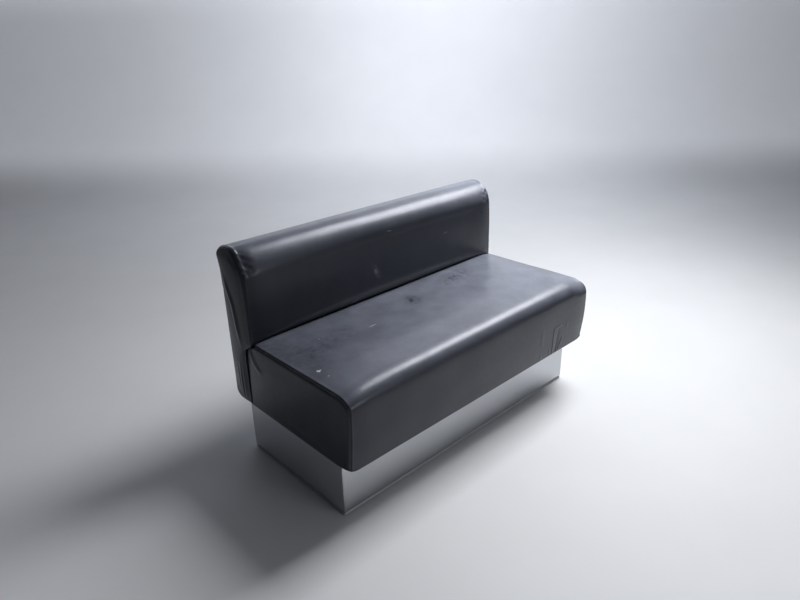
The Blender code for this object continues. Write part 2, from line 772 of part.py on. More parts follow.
def make_seat(parent):
    pieces = {}
    pieces["front_rail"] = box(
        "seat_front_rail", (-RAIL_END, RAIL_FRONT, RAIL_Z),
        (RAIL_END, RAIL_FRONT + RAIL, RAIL_TOP), SOFTWOOD, parent)
    pieces["rear_rail"] = box(
        "seat_rear_rail", (-RAIL_END, REAR_RAIL_FRONT, RAIL_Z),
        (RAIL_END, RAIL_REAR, RAIL_TOP), SOFTWOOD, parent)
    near = RAIL_FRONT + RAIL
    for name, side in (("left", -1), ("right", 1)):
        xs = sorted((side * RAIL_END, side * (RAIL_END - RAIL)))
        box("seat_%s_rail" % name, (xs[0], near + GAP, RAIL_Z),
            (xs[1], REAR_RAIL_FRONT - GAP, RAIL_TOP), SOFTWOOD, parent)
        low = (side * CROSS_X - RAIL / 2, near - HOUSING + GAP, RAIL_Z)
        high = (side * CROSS_X + RAIL / 2, REAR_RAIL_FRONT + HOUSING - GAP, RAIL_TOP)
        pieces["cross_" + name] = box("seat_cross_rail_" + name, low, high, SOFTWOOD, parent)
        housing = box("housing_" + name, [a - GAP for a in low[:2]] + [RAIL_Z - RAIL],
                      [b + GAP for b in high[:2]] + [RAIL_TOP + RAIL], None, parent)
        cut([pieces["front_rail"], pieces["rear_rail"]], housing)
        make_end_cover("seat_cover_%s_end" % name, side, seat_rows, seat_end_at, COLUMNS, parent)
        make_end_pad("seat_%s_pad" % name, side, seat_pad_rows, seat_end_at,
                     RAIL_END + GAP, BACK_COLUMNS, parent)
    box("seat_deck_board", (-RAIL_END, RAIL_FRONT, RAIL_TOP + GAP),
        (RAIL_END, RAIL_REAR, DECK_TOP), PLYWOOD, parent)
    hem = HEM_RADIUS + TURN_UNDER + GAP
    cloth_x = END_HALF - CORNER_ROUND - hem
    pieces["dust_cover"] = box(
        "seat_dust_cover", (-cloth_x, Y_FOOT + hem, SEAT_BASE),
        (cloth_x, RAIL_REAR, SEAT_BASE + DUST_COVER), BLACK_CLOTH, parent)
    make_seat_foam(parent)
    make_front_pad(parent)
    make_seat_cover(parent)
    return pieces


def make_back(parent):
    pieces = {}
    pieces["board"] = box(
        "back_board", (-RAIL_END, Y_BOARD, RAIL_Z),
        (RAIL_END, Y_BOARD + BOARD, ROLL_Z - GAP), PLYWOOD, parent)
    rail_foot = ROLL_Z - TOP_RAIL - GAP
    frame_rear = FRAME_REAR - BACK_DIP
    box("back_top_rail", (-RAIL_END, Y_STILE, rail_foot),
        (RAIL_END, frame_rear, ROLL_Z - GAP), SOFTWOOD, parent)
    inner = RAIL_END - STILE
    foot_top = SEAT_BASE + GAP + FOOT_RAIL
    pieces["foot_rail"] = box(
        "back_foot_rail", (-inner + GAP, Y_STILE, SEAT_BASE + GAP),
        (inner - GAP, Y_REAR - FOOT_ROUND - GAP, foot_top), SOFTWOOD, parent)
    box("back_middle_stile", (-STILE / 2, Y_STILE, foot_top + GAP),
        (STILE / 2, frame_rear, rail_foot - GAP), SOFTWOOD, parent)
    for name, side in (("left", -1), ("right", 1)):
        xs = sorted((side * RAIL_END, side * inner))
        make_stile("back_%s_stile" % name, xs[0], xs[1], parent)
        make_end_cover("back_cover_%s_end" % name, side, back_rows, back_end_at, BACK_COLUMNS, parent)
        make_end_pad("back_%s_pad" % name, side, back_pad_rows, back_end_at,
                     RAIL_END + GAP, BACK_COLUMNS, parent)
    make_back_foam(parent)
    make_back_cover(parent)
    make_rear_cover(parent)
    return pieces


def fasten(plinth, seat, back, parent):
    head_z = CLEAT_FOOT - GAP
    tip_z = RAIL_Z + SCREW_BITE
    for side_name, side in (("left", -1), ("right", 1)):
        spots = (("front", side * CROSS_X, INNER_FRONT + CLEAT_WIDTH / 2,
                  [plinth["front_cleat"], seat["dust_cover"], seat["cross_" + side_name]]),
                 ("rear", side * REAR_SCREW_X, REAR_RAIL_MID,
                  [plinth["rear_cleat"], seat["dust_cover"], seat["rear_rail"]]))
        for row_name, x, y, targets in spots:
            name = "%s_%s" % (row_name, side_name)
            length = tip_z - head_z
            screw = ((SCREW_HEAD_R, -SCREW_HEAD, False), (SCREW_HEAD_R, 0.0, False),
                     (SCREW_R, 0.0, False), (SCREW_R, length, False))
            turned("seat_screw_" + name, screw, ZINC_STEEL, parent, (x, y, head_z))
            bore = ((SCREW_R + GAP, -GAP, False), (SCREW_R + GAP, length + GAP, False))
            cut(targets, turned("bore_screw_" + name, bore, None, parent, (x, y, head_z)))
        for place, offset in (("outer", OUTER_BOLT_X), ("inner", INNER_BOLT_X)):
            name = "%s_%s" % (place, side_name)
            start = REAR_RAIL_FRONT - GAP
            length = Y_STILE + BOLT_BITE - start
            spot = (side * offset, start, RAIL_Z + BOLT_RISE)
            along_y = (-math.pi / 2, 0.0, 0.0)
            bolt = ((BOLT_HEAD_R, -BOLT_HEAD, True), (BOLT_HEAD_R, 0.0, True),
                    (BOLT_R, 0.0, False), (BOLT_R, length, False))
            turned("back_bolt_" + name, bolt, ZINC_STEEL, parent, spot, along_y)
            bore = ((BOLT_R + GAP, -GAP, False), (BOLT_R + GAP, length + GAP, False))
            cutter = turned("bore_bolt_" + name, bore, None, parent, spot, along_y)
            cut([seat["rear_rail"], back["board"], back["foot_rail"]], cutter)


def main():
    clear_scene()
    bench = group("bench")
    plinth = make_plinth(bench)
    seat = make_seat(bench)
    back = make_back(bench)
    fasten(plinth, seat, back, bench)
    bpy.context.view_layer.update()


main()
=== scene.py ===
# Armless two-seat bench: black leatherette seat and back on a satin metal plinth.
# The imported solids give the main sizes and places. This script adds covers, finishes and light.

import bpy
import bmesh
import json
import math
import numpy as np
from mathutils import Matrix, Vector
from mathutils.bvhtree import BVHTree
from mathutils.kdtree import KDTree


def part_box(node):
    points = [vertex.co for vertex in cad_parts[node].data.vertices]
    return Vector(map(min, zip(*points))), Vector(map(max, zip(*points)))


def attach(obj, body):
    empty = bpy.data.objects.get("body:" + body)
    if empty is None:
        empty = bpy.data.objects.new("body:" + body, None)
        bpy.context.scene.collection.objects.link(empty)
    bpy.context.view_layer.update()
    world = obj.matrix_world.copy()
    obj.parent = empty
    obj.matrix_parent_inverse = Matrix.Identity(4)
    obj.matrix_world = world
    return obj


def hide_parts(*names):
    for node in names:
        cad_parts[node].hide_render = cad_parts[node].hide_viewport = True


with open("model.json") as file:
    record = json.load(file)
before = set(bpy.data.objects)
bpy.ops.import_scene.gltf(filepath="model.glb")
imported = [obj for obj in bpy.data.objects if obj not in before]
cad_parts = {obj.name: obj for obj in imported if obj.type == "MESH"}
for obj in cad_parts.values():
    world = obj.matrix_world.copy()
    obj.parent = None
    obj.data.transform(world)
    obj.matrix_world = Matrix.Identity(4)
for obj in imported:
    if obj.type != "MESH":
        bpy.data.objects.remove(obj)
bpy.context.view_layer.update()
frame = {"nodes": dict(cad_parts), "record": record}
scene = bpy.context.scene
scene.view_settings.view_transform = "Standard"
print("frame loaded:", len(frame["nodes"]), "nodes")


# Small helpers

def hexColor(code):
    parts = [int(code[k:k + 2], 16) / 255 for k in (1, 3, 5)]
    return tuple(c / 12.92 if c <= 0.04045 else ((c + 0.055) / 1.055) ** 2.4 for c in parts) + (1.0,)


def setInputs(tree, node, inputs):
    # a node given as an input is linked by its first output in use
    for name, value in inputs.items():
        socket = node.inputs[name]
        if isinstance(value, bpy.types.Node):
            value = next(output for output in value.outputs if output.enabled)
        if isinstance(value, bpy.types.NodeSocket):
            tree.links.new(value, socket)
        else:
            socket.default_value = value


def addNode(tree, kind, inputs=None, **settings):
    node = tree.nodes.new(kind)
    for name, value in settings.items():
        setattr(node, name, value)
    setInputs(tree, node, inputs or {})
    return node


def smoothStep(value):
    share = np.clip(value, 0.0, 1.0)
    return share * share * (3 - 2 * share)


def fadeIn(values, place, sign=1):
    # 0 before a place and 1 past it, for a (place, run) pair
    return smoothStep(sign * (values - place[0]) / place[1])


def rampIn(values, place, sign=1):
    return np.clip(sign * (values - place[0]) / place[1], 0, 1) ** 2


def arc(count, start, end):
    return np.linspace(math.radians(start), math.radians(end), count + 1)


def makeObject(name, points, faces, smooth=True):
    mesh = bpy.data.meshes.new(name)
    mesh.from_pydata(np.asarray(points).tolist(), [], [list(f) for f in faces])
    bm = bmesh.new()
    bm.from_mesh(mesh)
    bmesh.ops.recalc_face_normals(bm, faces=bm.faces)
    bm.to_mesh(mesh)
    bm.free()
    if smooth:
        mesh.shade_smooth()
    piece = bpy.data.objects.new(name, mesh)
    scene.collection.objects.link(piece)
    return piece


def readVectors(mesh, what):
    flat = np.zeros(len(mesh.vertices) * 3, np.float32)
    mesh.vertices.foreach_get(what, flat)
    return flat.reshape(-1, 3).astype(float)


def setPoints(mesh, points):
    mesh.vertices.foreach_set("co", points.astype(np.float32).ravel())
    mesh.update()


def plainMesh(piece):
    # the evaluated shape becomes the piece's own mesh, and no modifier is left
    depsgraph = bpy.context.evaluated_depsgraph_get()
    mesh = bpy.data.meshes.new_from_object(piece.evaluated_get(depsgraph))
    piece.modifiers.clear()
    piece.data = mesh
    return piece


def gridFaces(rows, wide):
    return [(k * wide + i, k * wide + i + 1, (k + 1) * wide + i + 1, (k + 1) * wide + i)
            for k in range(rows - 1) for i in range(wide - 1)]


def thicken(piece, thick):
    shell = piece.modifiers.new("thickness", "SOLIDIFY")
    shell.thickness = thick
    shell.offset = -1.0
    plainMesh(piece)
    piece.data.shade_smooth()


def dress(piece, material, slotName, *nodeNames):
    # finish and body of a piece, and the solids that it stands for
    piece.data.materials.append(material)
    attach(piece, "root")
    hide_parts(*nodeNames)


# Camera: solved from the plinth and seat edges, for a picture of 800 by 600

cameraView = {
    "position": (-1.52687, -1.53047, 1.44858),
    "azimuth": -42.97,
    "elevation": 24.29,
    "roll": -1.37,
    "focalPixels": 659.09,
    "pictureWidth": 800,
    "sensor": 36.0,
}


def makeCamera(view):
    azimuth, elevation, roll = (math.radians(view[k]) for k in ("azimuth", "elevation", "roll"))
    back = Vector((math.sin(azimuth) * math.cos(elevation),
                   -math.cos(azimuth) * math.cos(elevation), math.sin(elevation)))
    right = (-back).cross(Vector((0, 0, 1))).normalized()
    up = right.cross(-back)
    across = math.cos(roll) * right + math.sin(roll) * up
    upward = -math.sin(roll) * right + math.cos(roll) * up
    data = bpy.data.cameras.new("photoCamera")
    data.sensor_fit = "HORIZONTAL"
    data.sensor_width = view["sensor"]
    data.lens = view["focalPixels"] * view["sensor"] / view["pictureWidth"]
    camera = bpy.data.objects.new("photoCamera", data)
    turn = Matrix((across, upward, back)).transposed().to_4x4()
    camera.matrix_world = Matrix.Translation(view["position"]) @ turn
    scene.collection.objects.link(camera)
    scene.camera = camera


makeCamera(cameraView)
print("camera ready")


# Cushions: a closed tube of section loops along X, with a rounded, seamed edge and a cap at each end

# rows past a rounded edge
fineRuns = (0.0018, 0.004, 0.0066, 0.0096, 0.013, 0.017, 0.022, 0.028, 0.035, 0.043)
coarseRuns = (0.012, 0.027, 0.045)

seatForm = {
    "top": 0.455,            # height of the seat before its crown
    "endOut": 0.0005,        # the ends stand proud of the solid, and the front behind it
    "frontIn": 0.003,
    "frontRoll": 0.062,      # depth of the rolled front edge
    "rearRoll": 0.068,
    "edgeRise": 0.057,
    "frontRise": 0.056,
    "knee": 0.66,            # below 1 the front roll is fuller at its top than an ellipse
    "lean": 0.009,           # the front face leans out from its foot to its roll
    "hem": 0.0070,           # rounding at the foot
    "frontLift": 0.009,      # stuffing raises the top along the front edge, between the ends
    "crown": 0.006,
    "looseRoll": 0.085,      # the right front corner is drawn into a wider roll
    "looseRise": 0.060,
    "taper": 0.0045,         # each end draws in towards the top
    "endRound": 0.016,       # rounding of the seamed edges
    "seamFront": 32,         # where the seam lies on that rounding, in degrees from the main panel
    "seamTop": 40,
    "dipFront": 0.003,       # the front draws back to the end seams
    "dipTop": 0.004,
    "dipRun": 0.060,
    "endSwell": 0.003,
    "footLift": 0.45,        # share of the rounding that the foot of an end takes, and its rear
    "rearShare": 0.35,
    "hemRoom": 1.1,
    "crownFrom": 0.72,       # share of the height where the crown begins
    "looseFrom": 0.50,       # x where the loose corner begins, and how far it takes to be full
    "looseRun": 0.08,
    "underside": 0.0032,     # room under the deck for the dust cloth
    "turnUnder": 0.040,      # cover folded under the rails
    "turnStep": 0.004,
}
seatLow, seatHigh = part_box("seat_cover_main")
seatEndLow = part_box("seat_cover_left_end")[0]
seatForm.update(half=-seatEndLow.x + seatForm["endOut"], front=seatLow.y + seatForm["frontIn"],
                rear=seatHigh.y, base=seatLow.z)

seatFine = {"hem": 5, "face": 44, "roll": 16, "top": 78, "rearRoll": 8, "round": 30, "runs": fineRuns,
            "middle": ((-0.440, 0.0042), (0.180, 0.0085), (0.305, 0.0062), (0.365, 0.0034), (0.490, 0.0022),
                       (1.0, 0.0040))}
seatCoarse = {"hem": 2, "face": 10, "roll": 4, "top": 22, "rearRoll": 3, "round": 4, "runs": coarseRuns,
              "middle": ((1.0, 0.022),)}


def seatSides(form, counts, inset, edge):
    front, base, hem = form["front"], form["base"], form["hem"]
    edgeZ, frontZ = form["top"] - form["edgeRise"], form["top"] - form["frontRise"]
    foot = front + form["lean"]
    dipF, dipT = form["dipFront"] * edge, form["dipTop"] * edge
    lift, rearInset, room = inset * form["footLift"], inset * form["rearShare"], form["hemRoom"]
    start, low = foot + math.hypot(hem, inset * room), base + math.hypot(hem, lift * room)
    reachY, reachZ = start - foot - inset, low - base - lift

    def hemmed(a):
        return start - reachY * math.sin(a) + dipF * max(0, a / math.pi * 4 - 1), low - reachZ * math.cos(a)

    hemA = [hemmed(a) for a in arc(counts["hem"], 0, 45)]
    hemB = [hemmed(a) for a in arc(counts["hem"], 45, 90)]
    face = []
    for share in np.linspace(0, 1, counts["face"] + 1)[1:-1]:
        face.append((front + form["lean"] * (1 - share) ** 2 + inset + dipF, low + (frontZ - low) * share))
    rollY, rollZ, rearZ = form["frontRoll"] - inset, form["frontRise"] - inset, form["edgeRise"] - inset

    def rolled(a):
        outY, outZ = max(0.0, math.cos(a)), max(0.0, math.sin(a)) ** form["knee"]
        return front + form["frontRoll"] - (rollY - dipF) * outY, frontZ + (rollZ - dipT) * outZ

    rollA = [rolled(a) for a in arc(counts["roll"], 0, 50)]
    rollB = [rolled(a) for a in arc(counts["roll"], 50, 90)]
    midY = form["rear"] - form["rearRoll"]
    topY, topZ = front + form["frontRoll"], form["top"] - inset - dipT
    top = [(topY + (midY - topY) * s, topZ) for s in np.linspace(0, 1, counts["top"] + 1)[1:-1]]

    def rearRolled(a):
        return midY + (form["rearRoll"] - rearInset) * math.sin(a), edgeZ + (rearZ - dipT) * math.cos(a)

    rearA = [rearRolled(a) for a in arc(counts["rearRoll"], 0, 45)]
    rearB = [rearRolled(a) for a in arc(counts["rearRoll"], 45, 90)]
    frontSide = hemB + face + rollA
    topSide = rollB + top + rearA
    drop = len(frontSide) - len(rearB)
    rearY = form["rear"] - rearInset
    rearSide = rearB + [(rearY, edgeZ + (base + lift - edgeZ) * (k + 1) / drop) for k in range(drop)]
    slide = len(topSide) - len(hemA)
    bottomSide = [(rearY + (start - rearY) * k / slide, base + lift) for k in range(slide)] + hemA
    return [side[:-1] for side in (bottomSide, frontSide, topSide, rearSide)]


def seatPoint(form, x, y, z):
    share = x / form["half"]
    rise = (z - form["base"]) / (form["top"] - form["base"])
    along = np.clip((y - form["front"]) / (form["rear"] - form["rearRoll"] - form["front"]), 0, 1)
    raised = form["crown"] * np.sin(math.pi * along ** 0.75)
    raised += form["frontLift"] * (1 - smoothStep((along - 0.1) / 0.9))
    upper = smoothStep((rise - form["crownFrom"]) / (1 - form["crownFrom"]))
    z = z + raised * (1 - share ** 8) * upper
    u = np.maximum(form["front"] + form["looseRoll"] - y, 0) / form["looseRoll"]
    v = np.maximum(z - form["top"] + form["looseRise"], 0) / form["looseRise"]
    cut = 1 / np.maximum(1.0, (u ** 2 + v ** 2) ** 0.5) - 1
    cut = cut * smoothStep((x - form["looseFrom"]) / form["looseRun"])
    cut = cut * smoothStep(u / 0.3) * smoothStep(v / 0.3)
    y, z = y - form["looseRoll"] * u * cut, z + form["looseRise"] * v * cut
    draw = form["taper"] * rise * np.abs(share) ** 6
    # the deck side stands back behind the turned-under cover
    turn, step = form["turnUnder"], form["turnStep"]
    inner = smoothStep((y - form["front"] - form["lean"] - turn) / step)
    inner = inner * smoothStep((form["half"] - turn - np.abs(x)) / step) * (rise < 0.02)
    return x - np.sign(x) * draw, y, z + inner * form["underside"]


backForm = {
    "face": 0.1685,          # the front face's plane
    "nose": 0.010,           # lower edge of that face, rounded in to the seat
    "noseRise": 0.020,
    "lean": 0.006,
    "crown": 0.006,
    "faceCrown": 0.003,
    "crownFrom": 0.28,       # height over the base where the face begins to crown
    "topRoll": 0.078,
    "topRise": 0.096,
    "topFlat": 0.004,
    "rearRise": 0.046,
    "foot": 0.036,
    "clear": 0.0012,         # kept to the seat
    "fillIn": 0.3,           # shares of the seat's end rounding that the back's foot gives way
    "fillUp": 0.7,
    "fillDip": 0.8,
    "rearShare": 0.4,        # share of the end rounding that the rear takes
    "endRound": 0.014,
    "seamFront": 40,
    "seamTop": 45,
    "dipFront": 0.003,
    "dipTop": 0.003,
    "dipRun": 0.055,
    "endSwell": 0.004,
    "panelStep": 0.0024,     # the rear stands back under the outside panel
    "panelFade": 0.004,
}
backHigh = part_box("back_cover_main")[1]
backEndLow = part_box("back_cover_left_end")[0]
outsideLow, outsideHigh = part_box("back_rear_cover")
backForm.update(half=-backEndLow.x, rear=backHigh.y, base=outsideLow.z, seam=outsideHigh.z,
                plane=seatForm["rear"] + backForm["clear"], top=backHigh.z - backForm["crown"])

backFine = {"low": 20, "belly": 10, "nose": 7, "face": 46, "roll": 20, "flat": 2, "rear": 14, "foot": 8,
            "round": 28, "runs": fineRuns, "middle": ((-0.450, 0.0042), (0.440, 0.0085), (1.0, 0.0045))}
backCoarse = {"low": 6, "belly": 4, "nose": 3, "face": 14, "roll": 6, "flat": 1, "rear": 5, "foot": 3,
              "round": 4, "runs": coarseRuns, "middle": ((1.0, 0.022),)}


def backSides(form, counts, inset, edge):
    seat = seatForm
    edgeZ = seat["top"] - seat["edgeRise"]
    midY = seat["rear"] - seat["rearRoll"]
    dipF, dipT = form["dipFront"] * edge, form["dipTop"] * edge
    # at its ends the back fills the room that the seat's own rounded ends leave
    lowY = form["plane"] - form["fillIn"] * inset
    across = seat["rearRoll"] + form["clear"] - form["fillIn"] * inset
    up = seat["edgeRise"] + form["clear"] - form["fillUp"] * inset - form["fillDip"] * seat["dipTop"] * edge
    low = [(lowY, form["base"] + inset + (edgeZ - form["base"] - inset) * s)
           for s in np.linspace(0, 1, counts["low"] + 1)[:-1]]
    bellyEnd = math.acos((form["face"] + form["nose"] - midY) / (seat["rearRoll"] + form["clear"]))
    belly = [(midY + across * math.cos(a), edgeZ + up * math.sin(a))
             for a in arc(counts["belly"], 0, math.degrees(bellyEnd))]
    endY, endZ = belly[-1]
    faceY = form["face"] + inset + dipF
    nose = [(endY + (faceY - endY) * math.sin(a), endZ + form["noseRise"] * (1 - math.cos(a)))
            for a in arc(counts["nose"], 0, 90)[1:]]
    rollZ = form["top"] - form["topRise"]
    faceZ = endZ + form["noseRise"]
    face = [(faceY + form["lean"] * s * s, faceZ + (rollZ - faceZ) * s)
            for s in np.linspace(0, 1, counts["face"] + 1)[1:-1]]
    centre = form["face"] + form["lean"] + form["topRoll"]
    rollY, rollUp = form["topRoll"] - inset - dipF, form["topRise"] - inset - dipT

    def rolled(a):
        return centre - rollY * math.cos(a), rollZ + rollUp * math.sin(a)

    rollA = [rolled(a) for a in arc(counts["roll"], 0, 50)]
    rollB = [rolled(a) for a in arc(counts["roll"], 50, 90)]
    rearMid = centre + form["topFlat"]
    flat = [(centre + form["topFlat"] * s, form["top"] - inset - dipT)
            for s in np.linspace(0, 1, counts["flat"] + 1)[1:-1]]
    rearZ = form["top"] - form["rearRise"]
    rearInset = form["rearShare"] * (inset + dipF)
    rearReach, rearUp = form["rear"] - rearMid - rearInset, form["rearRise"] - inset - dipT

    def rearRolled(a):
        return rearMid + rearReach * math.sin(a), rearZ + rearUp * math.cos(a)

    rearA = [rearRolled(a) for a in arc(counts["rear"], 0, 45)]
    rearB = [rearRolled(a) for a in arc(counts["rear"], 45, 90)]
    reach = form["foot"] - rearInset
    footY, footZ = form["rear"] - form["foot"], form["base"] + form["foot"]

    def footed(a):
        step = form["panelStep"]
        return footY + reach * math.cos(a) - step, footZ - (reach - step) * math.sin(a)

    footA = [footed(a) for a in arc(counts["foot"], 0, 45)]
    footB = [footed(a) for a in arc(counts["foot"], 45, 90)]
    frontSide = low + belly + nose + face + rollA
    topSide = rollB + flat + rearA
    run = len(frontSide) - len(rearB) - len(footA) + 1
    rearFace = []
    for k in range(run - 1):
        z = rearZ + (footZ - rearZ) * (k + 1) / run
        below = (form["seam"] + form["panelFade"] - z) / (2 * form["panelFade"])
        step = form["panelStep"] * float(smoothStep(below))
        rearFace.append((form["rear"] - rearInset - step, z))
    rearSide = rearB + rearFace + footA
    slide = len(topSide) - len(footB)
    closeY, closeZ = lowY, form["base"] + inset
    lastY, lastZ = footB[-1]
    shares = [(k + 1) / slide for k in range(slide)]
    bottomSide = footB + [(lastY + (closeY - lastY) * s, lastZ + (closeZ - lastZ) * s) for s in shares]
    return [side[:-1] for side in (bottomSide, frontSide, topSide, rearSide)]


def backPoint(form, x, y, z):
    share = 1 - (x / form["half"]) ** 4
    rise = smoothStep((z - (form["top"] - form["topRise"])) / form["topRise"])
    lower = form["base"] + form["crownFrom"]
    swell = np.clip((z - lower) / (form["top"] - form["topRise"] - lower), 0, 1)
    ahead = smoothStep((form["face"] + 0.03 - y) / 0.02)
    y = y - form["faceCrown"] * 4 * swell * (1 - swell) * share * ahead
    return x, y, z + form["crown"] * rise * share


def spacedPlaces(start, end, zones):
    # places from start to end, each zone (its far end, its spacing) with a spacing of its own
    places, here = [], start
    for stop, step in zones:
        far = min(stop, end)
        if far > here:
            count = max(1, round((far - here) / step))
            places += list(np.linspace(here, far, count + 1)[1:])
            here = far
    return places[:-1]


def endRows(form, counts):
    # rows from the left cap to the right one: x, inset, edge share, angle on the rounding, distance past it
    radius, half = form["endRound"], form["half"]
    flat = half - radius
    angles = arc(counts["round"], 90, 0)
    inner = flat - counts["runs"][-1]
    rounded = [(flat + radius * math.sin(a), radius * (1 - math.cos(a)), a, 0.0) for a in angles]
    nearEdge = [(flat - run, 0.0, 0.0, run) for run in counts["runs"]]
    middle = [(x, 0.0, 0.0, flat - abs(x)) for x in spacedPlaces(-inner, inner, counts["middle"])]
    rows = [(-x, i, a, r) for x, i, a, r in rounded + nearEdge] + middle + (rounded + nearEdge)[::-1]
    return [(x, i, min(1.0, max(0.0, 1 - r / form["dipRun"])) ** 2, a, r) for x, i, a, r in rows]


def makeLattice(form, counts, sidesAt, pointAt):
    rows = endRows(form, counts)
    grid = []
    for x, inset, edge, angle, run in rows:
        loop = np.array([p for side in sidesAt(form, counts, inset, edge) for p in side])
        grid.append(np.stack(pointAt(form, np.full(len(loop), x), loop[:, 0], loop[:, 1]), -1))
    sides = sidesAt(form, counts, 0.0, 0.0)
    base = np.array([p for side in sides for p in side])
    return {"grid": np.array(grid), "rows": rows, "deep": len(sides[0]), "tall": len(sides[1]),
            "form": form, "base": base}


def capIndex(deep, tall):
    # loop numbers round the edge of a cap: s runs from rear to front, t from foot to top
    edge = {}
    for k in range(deep):
        edge[(k, 0)] = k
        edge[(deep - k, tall)] = deep + tall + k
    for k in range(tall):
        edge[(deep, k)] = deep + k
        edge[(0, tall - k)] = 2 * deep + tall + k
    return edge


def capPoints(loop, deep, tall, swell, side):
    field = np.zeros((deep + 1, tall + 1, 3))
    for (s, t), k in capIndex(deep, tall).items():
        field[s, t] = loop[k]
    s = np.linspace(0, 1, deep + 1)[:, None, None]
    t = np.linspace(0, 1, tall + 1)[None, :, None]
    blend = (1 - t) * field[:, :1] + t * field[:, -1:] + (1 - s) * field[:1] + s * field[-1:]
    corners = ((1 - s) * (1 - t) * field[0, 0] + s * (1 - t) * field[-1, 0]
               + s * t * field[-1, -1] + (1 - s) * t * field[0, -1])
    patch = blend - corners
    patch[:, :, 0] += side * swell * (16 * s * (1 - s) * t * (1 - t))[:, :, 0] ** 0.6
    return patch


def latticeMesh(name, lattice):
    grid, deep, tall = lattice["grid"], lattice["deep"], lattice["tall"]
    rowCount, loopCount = grid.shape[:2]
    points, faces = [grid.reshape(-1, 3)], []
    for j in range(rowCount - 1):
        for i in range(loopCount):
            n = (i + 1) % loopCount
            here, there = j * loopCount, (j + 1) * loopCount
            faces.append((here + i, here + n, there + n, there + i))
    offset = rowCount * loopCount
    edge = capIndex(deep, tall)
    lattice["caps"] = []
    for row, side in ((0, -1), (rowCount - 1, 1)):
        patch = capPoints(grid[row], deep, tall, lattice["form"]["endSwell"], side)
        inner = patch[1:-1, 1:-1].reshape(-1, 3)

        def number(s, t):
            if (s, t) in edge:
                return row * loopCount + edge[(s, t)]
            return offset + (s - 1) * (tall - 1) + t - 1

        for s in range(deep):
            for t in range(tall):
                faces.append((number(s, t), number(s + 1, t), number(s + 1, t + 1), number(s, t + 1)))
        lattice["caps"].append((row, offset, side))
        points.append(inner)
        offset += len(inner)
    return makeObject(name, np.concatenate(points), faces)


def splineWeights(fine, coarse):
    # cubic weights that carry values from the coarse places to the fine ones
    count = len(coarse)
    unit, slope = np.eye(count), np.zeros((count, count))
    for k in range(count):
        a, b = max(0, k - 1), min(count - 1, k + 1)
        slope[k] = (unit[b] - unit[a]) / (coarse[b] - coarse[a])
    k = np.clip(np.searchsorted(coarse, fine) - 1, 0, count - 2)
    width = coarse[k + 1] - coarse[k]
    t = np.clip((fine - coarse[k]) / width, 0, 1)
    a, b, c, d = 2 * t**3 - 3 * t**2 + 1, t**3 - 2 * t**2 + t, 3 * t**2 - 2 * t**3, t**3 - t**2
    return (a[:, None] * unit[k] + (b * width)[:, None] * slope[k]
            + c[:, None] * unit[k + 1] + (d * width)[:, None] * slope[k + 1])


def loopPlaces(lattice):
    # a place from 0 to 4 for each point of the loop: its side and how far along that side
    deep, tall, base = lattice["deep"], lattice["tall"], lattice["base"]
    places, start = [], 0
    for number, count in enumerate((deep, tall, deep, tall)):
        part = base[np.arange(start, start + count + 1) % len(base)]
        run = np.concatenate(([0], np.cumsum(np.linalg.norm(np.diff(part, axis=0), axis=1))))
        places += list(number + run[:-1] / run[-1])
        start += count
    return np.array(places)


def rowPlaces(lattice):
    form = lattice["form"]
    flat = form["half"] - form["endRound"]
    return np.array([math.copysign(flat + form["endRound"] * a, x) if a > 0 else x
                     for x, i, e, a, r in lattice["rows"]])


def capField(lattice, values, cap):
    row, offset, side = cap
    deep, tall = lattice["deep"], lattice["tall"]
    loopCount = lattice["grid"].shape[1]
    field = np.zeros((deep + 1, tall + 1, 3))
    field[1:-1, 1:-1] = values[offset:offset + (deep - 1) * (tall - 1)].reshape(deep - 1, tall - 1, 3)
    for (s, t), k in capIndex(deep, tall).items():
        field[s, t] = values[row * loopCount + k]
    return field


clothSwell = {"pressure": 4.0, "frames": 20, "tension": 25.0, "shear": 10.0, "bending": 4.0, "mass": 0.25,
              "quality": 6}


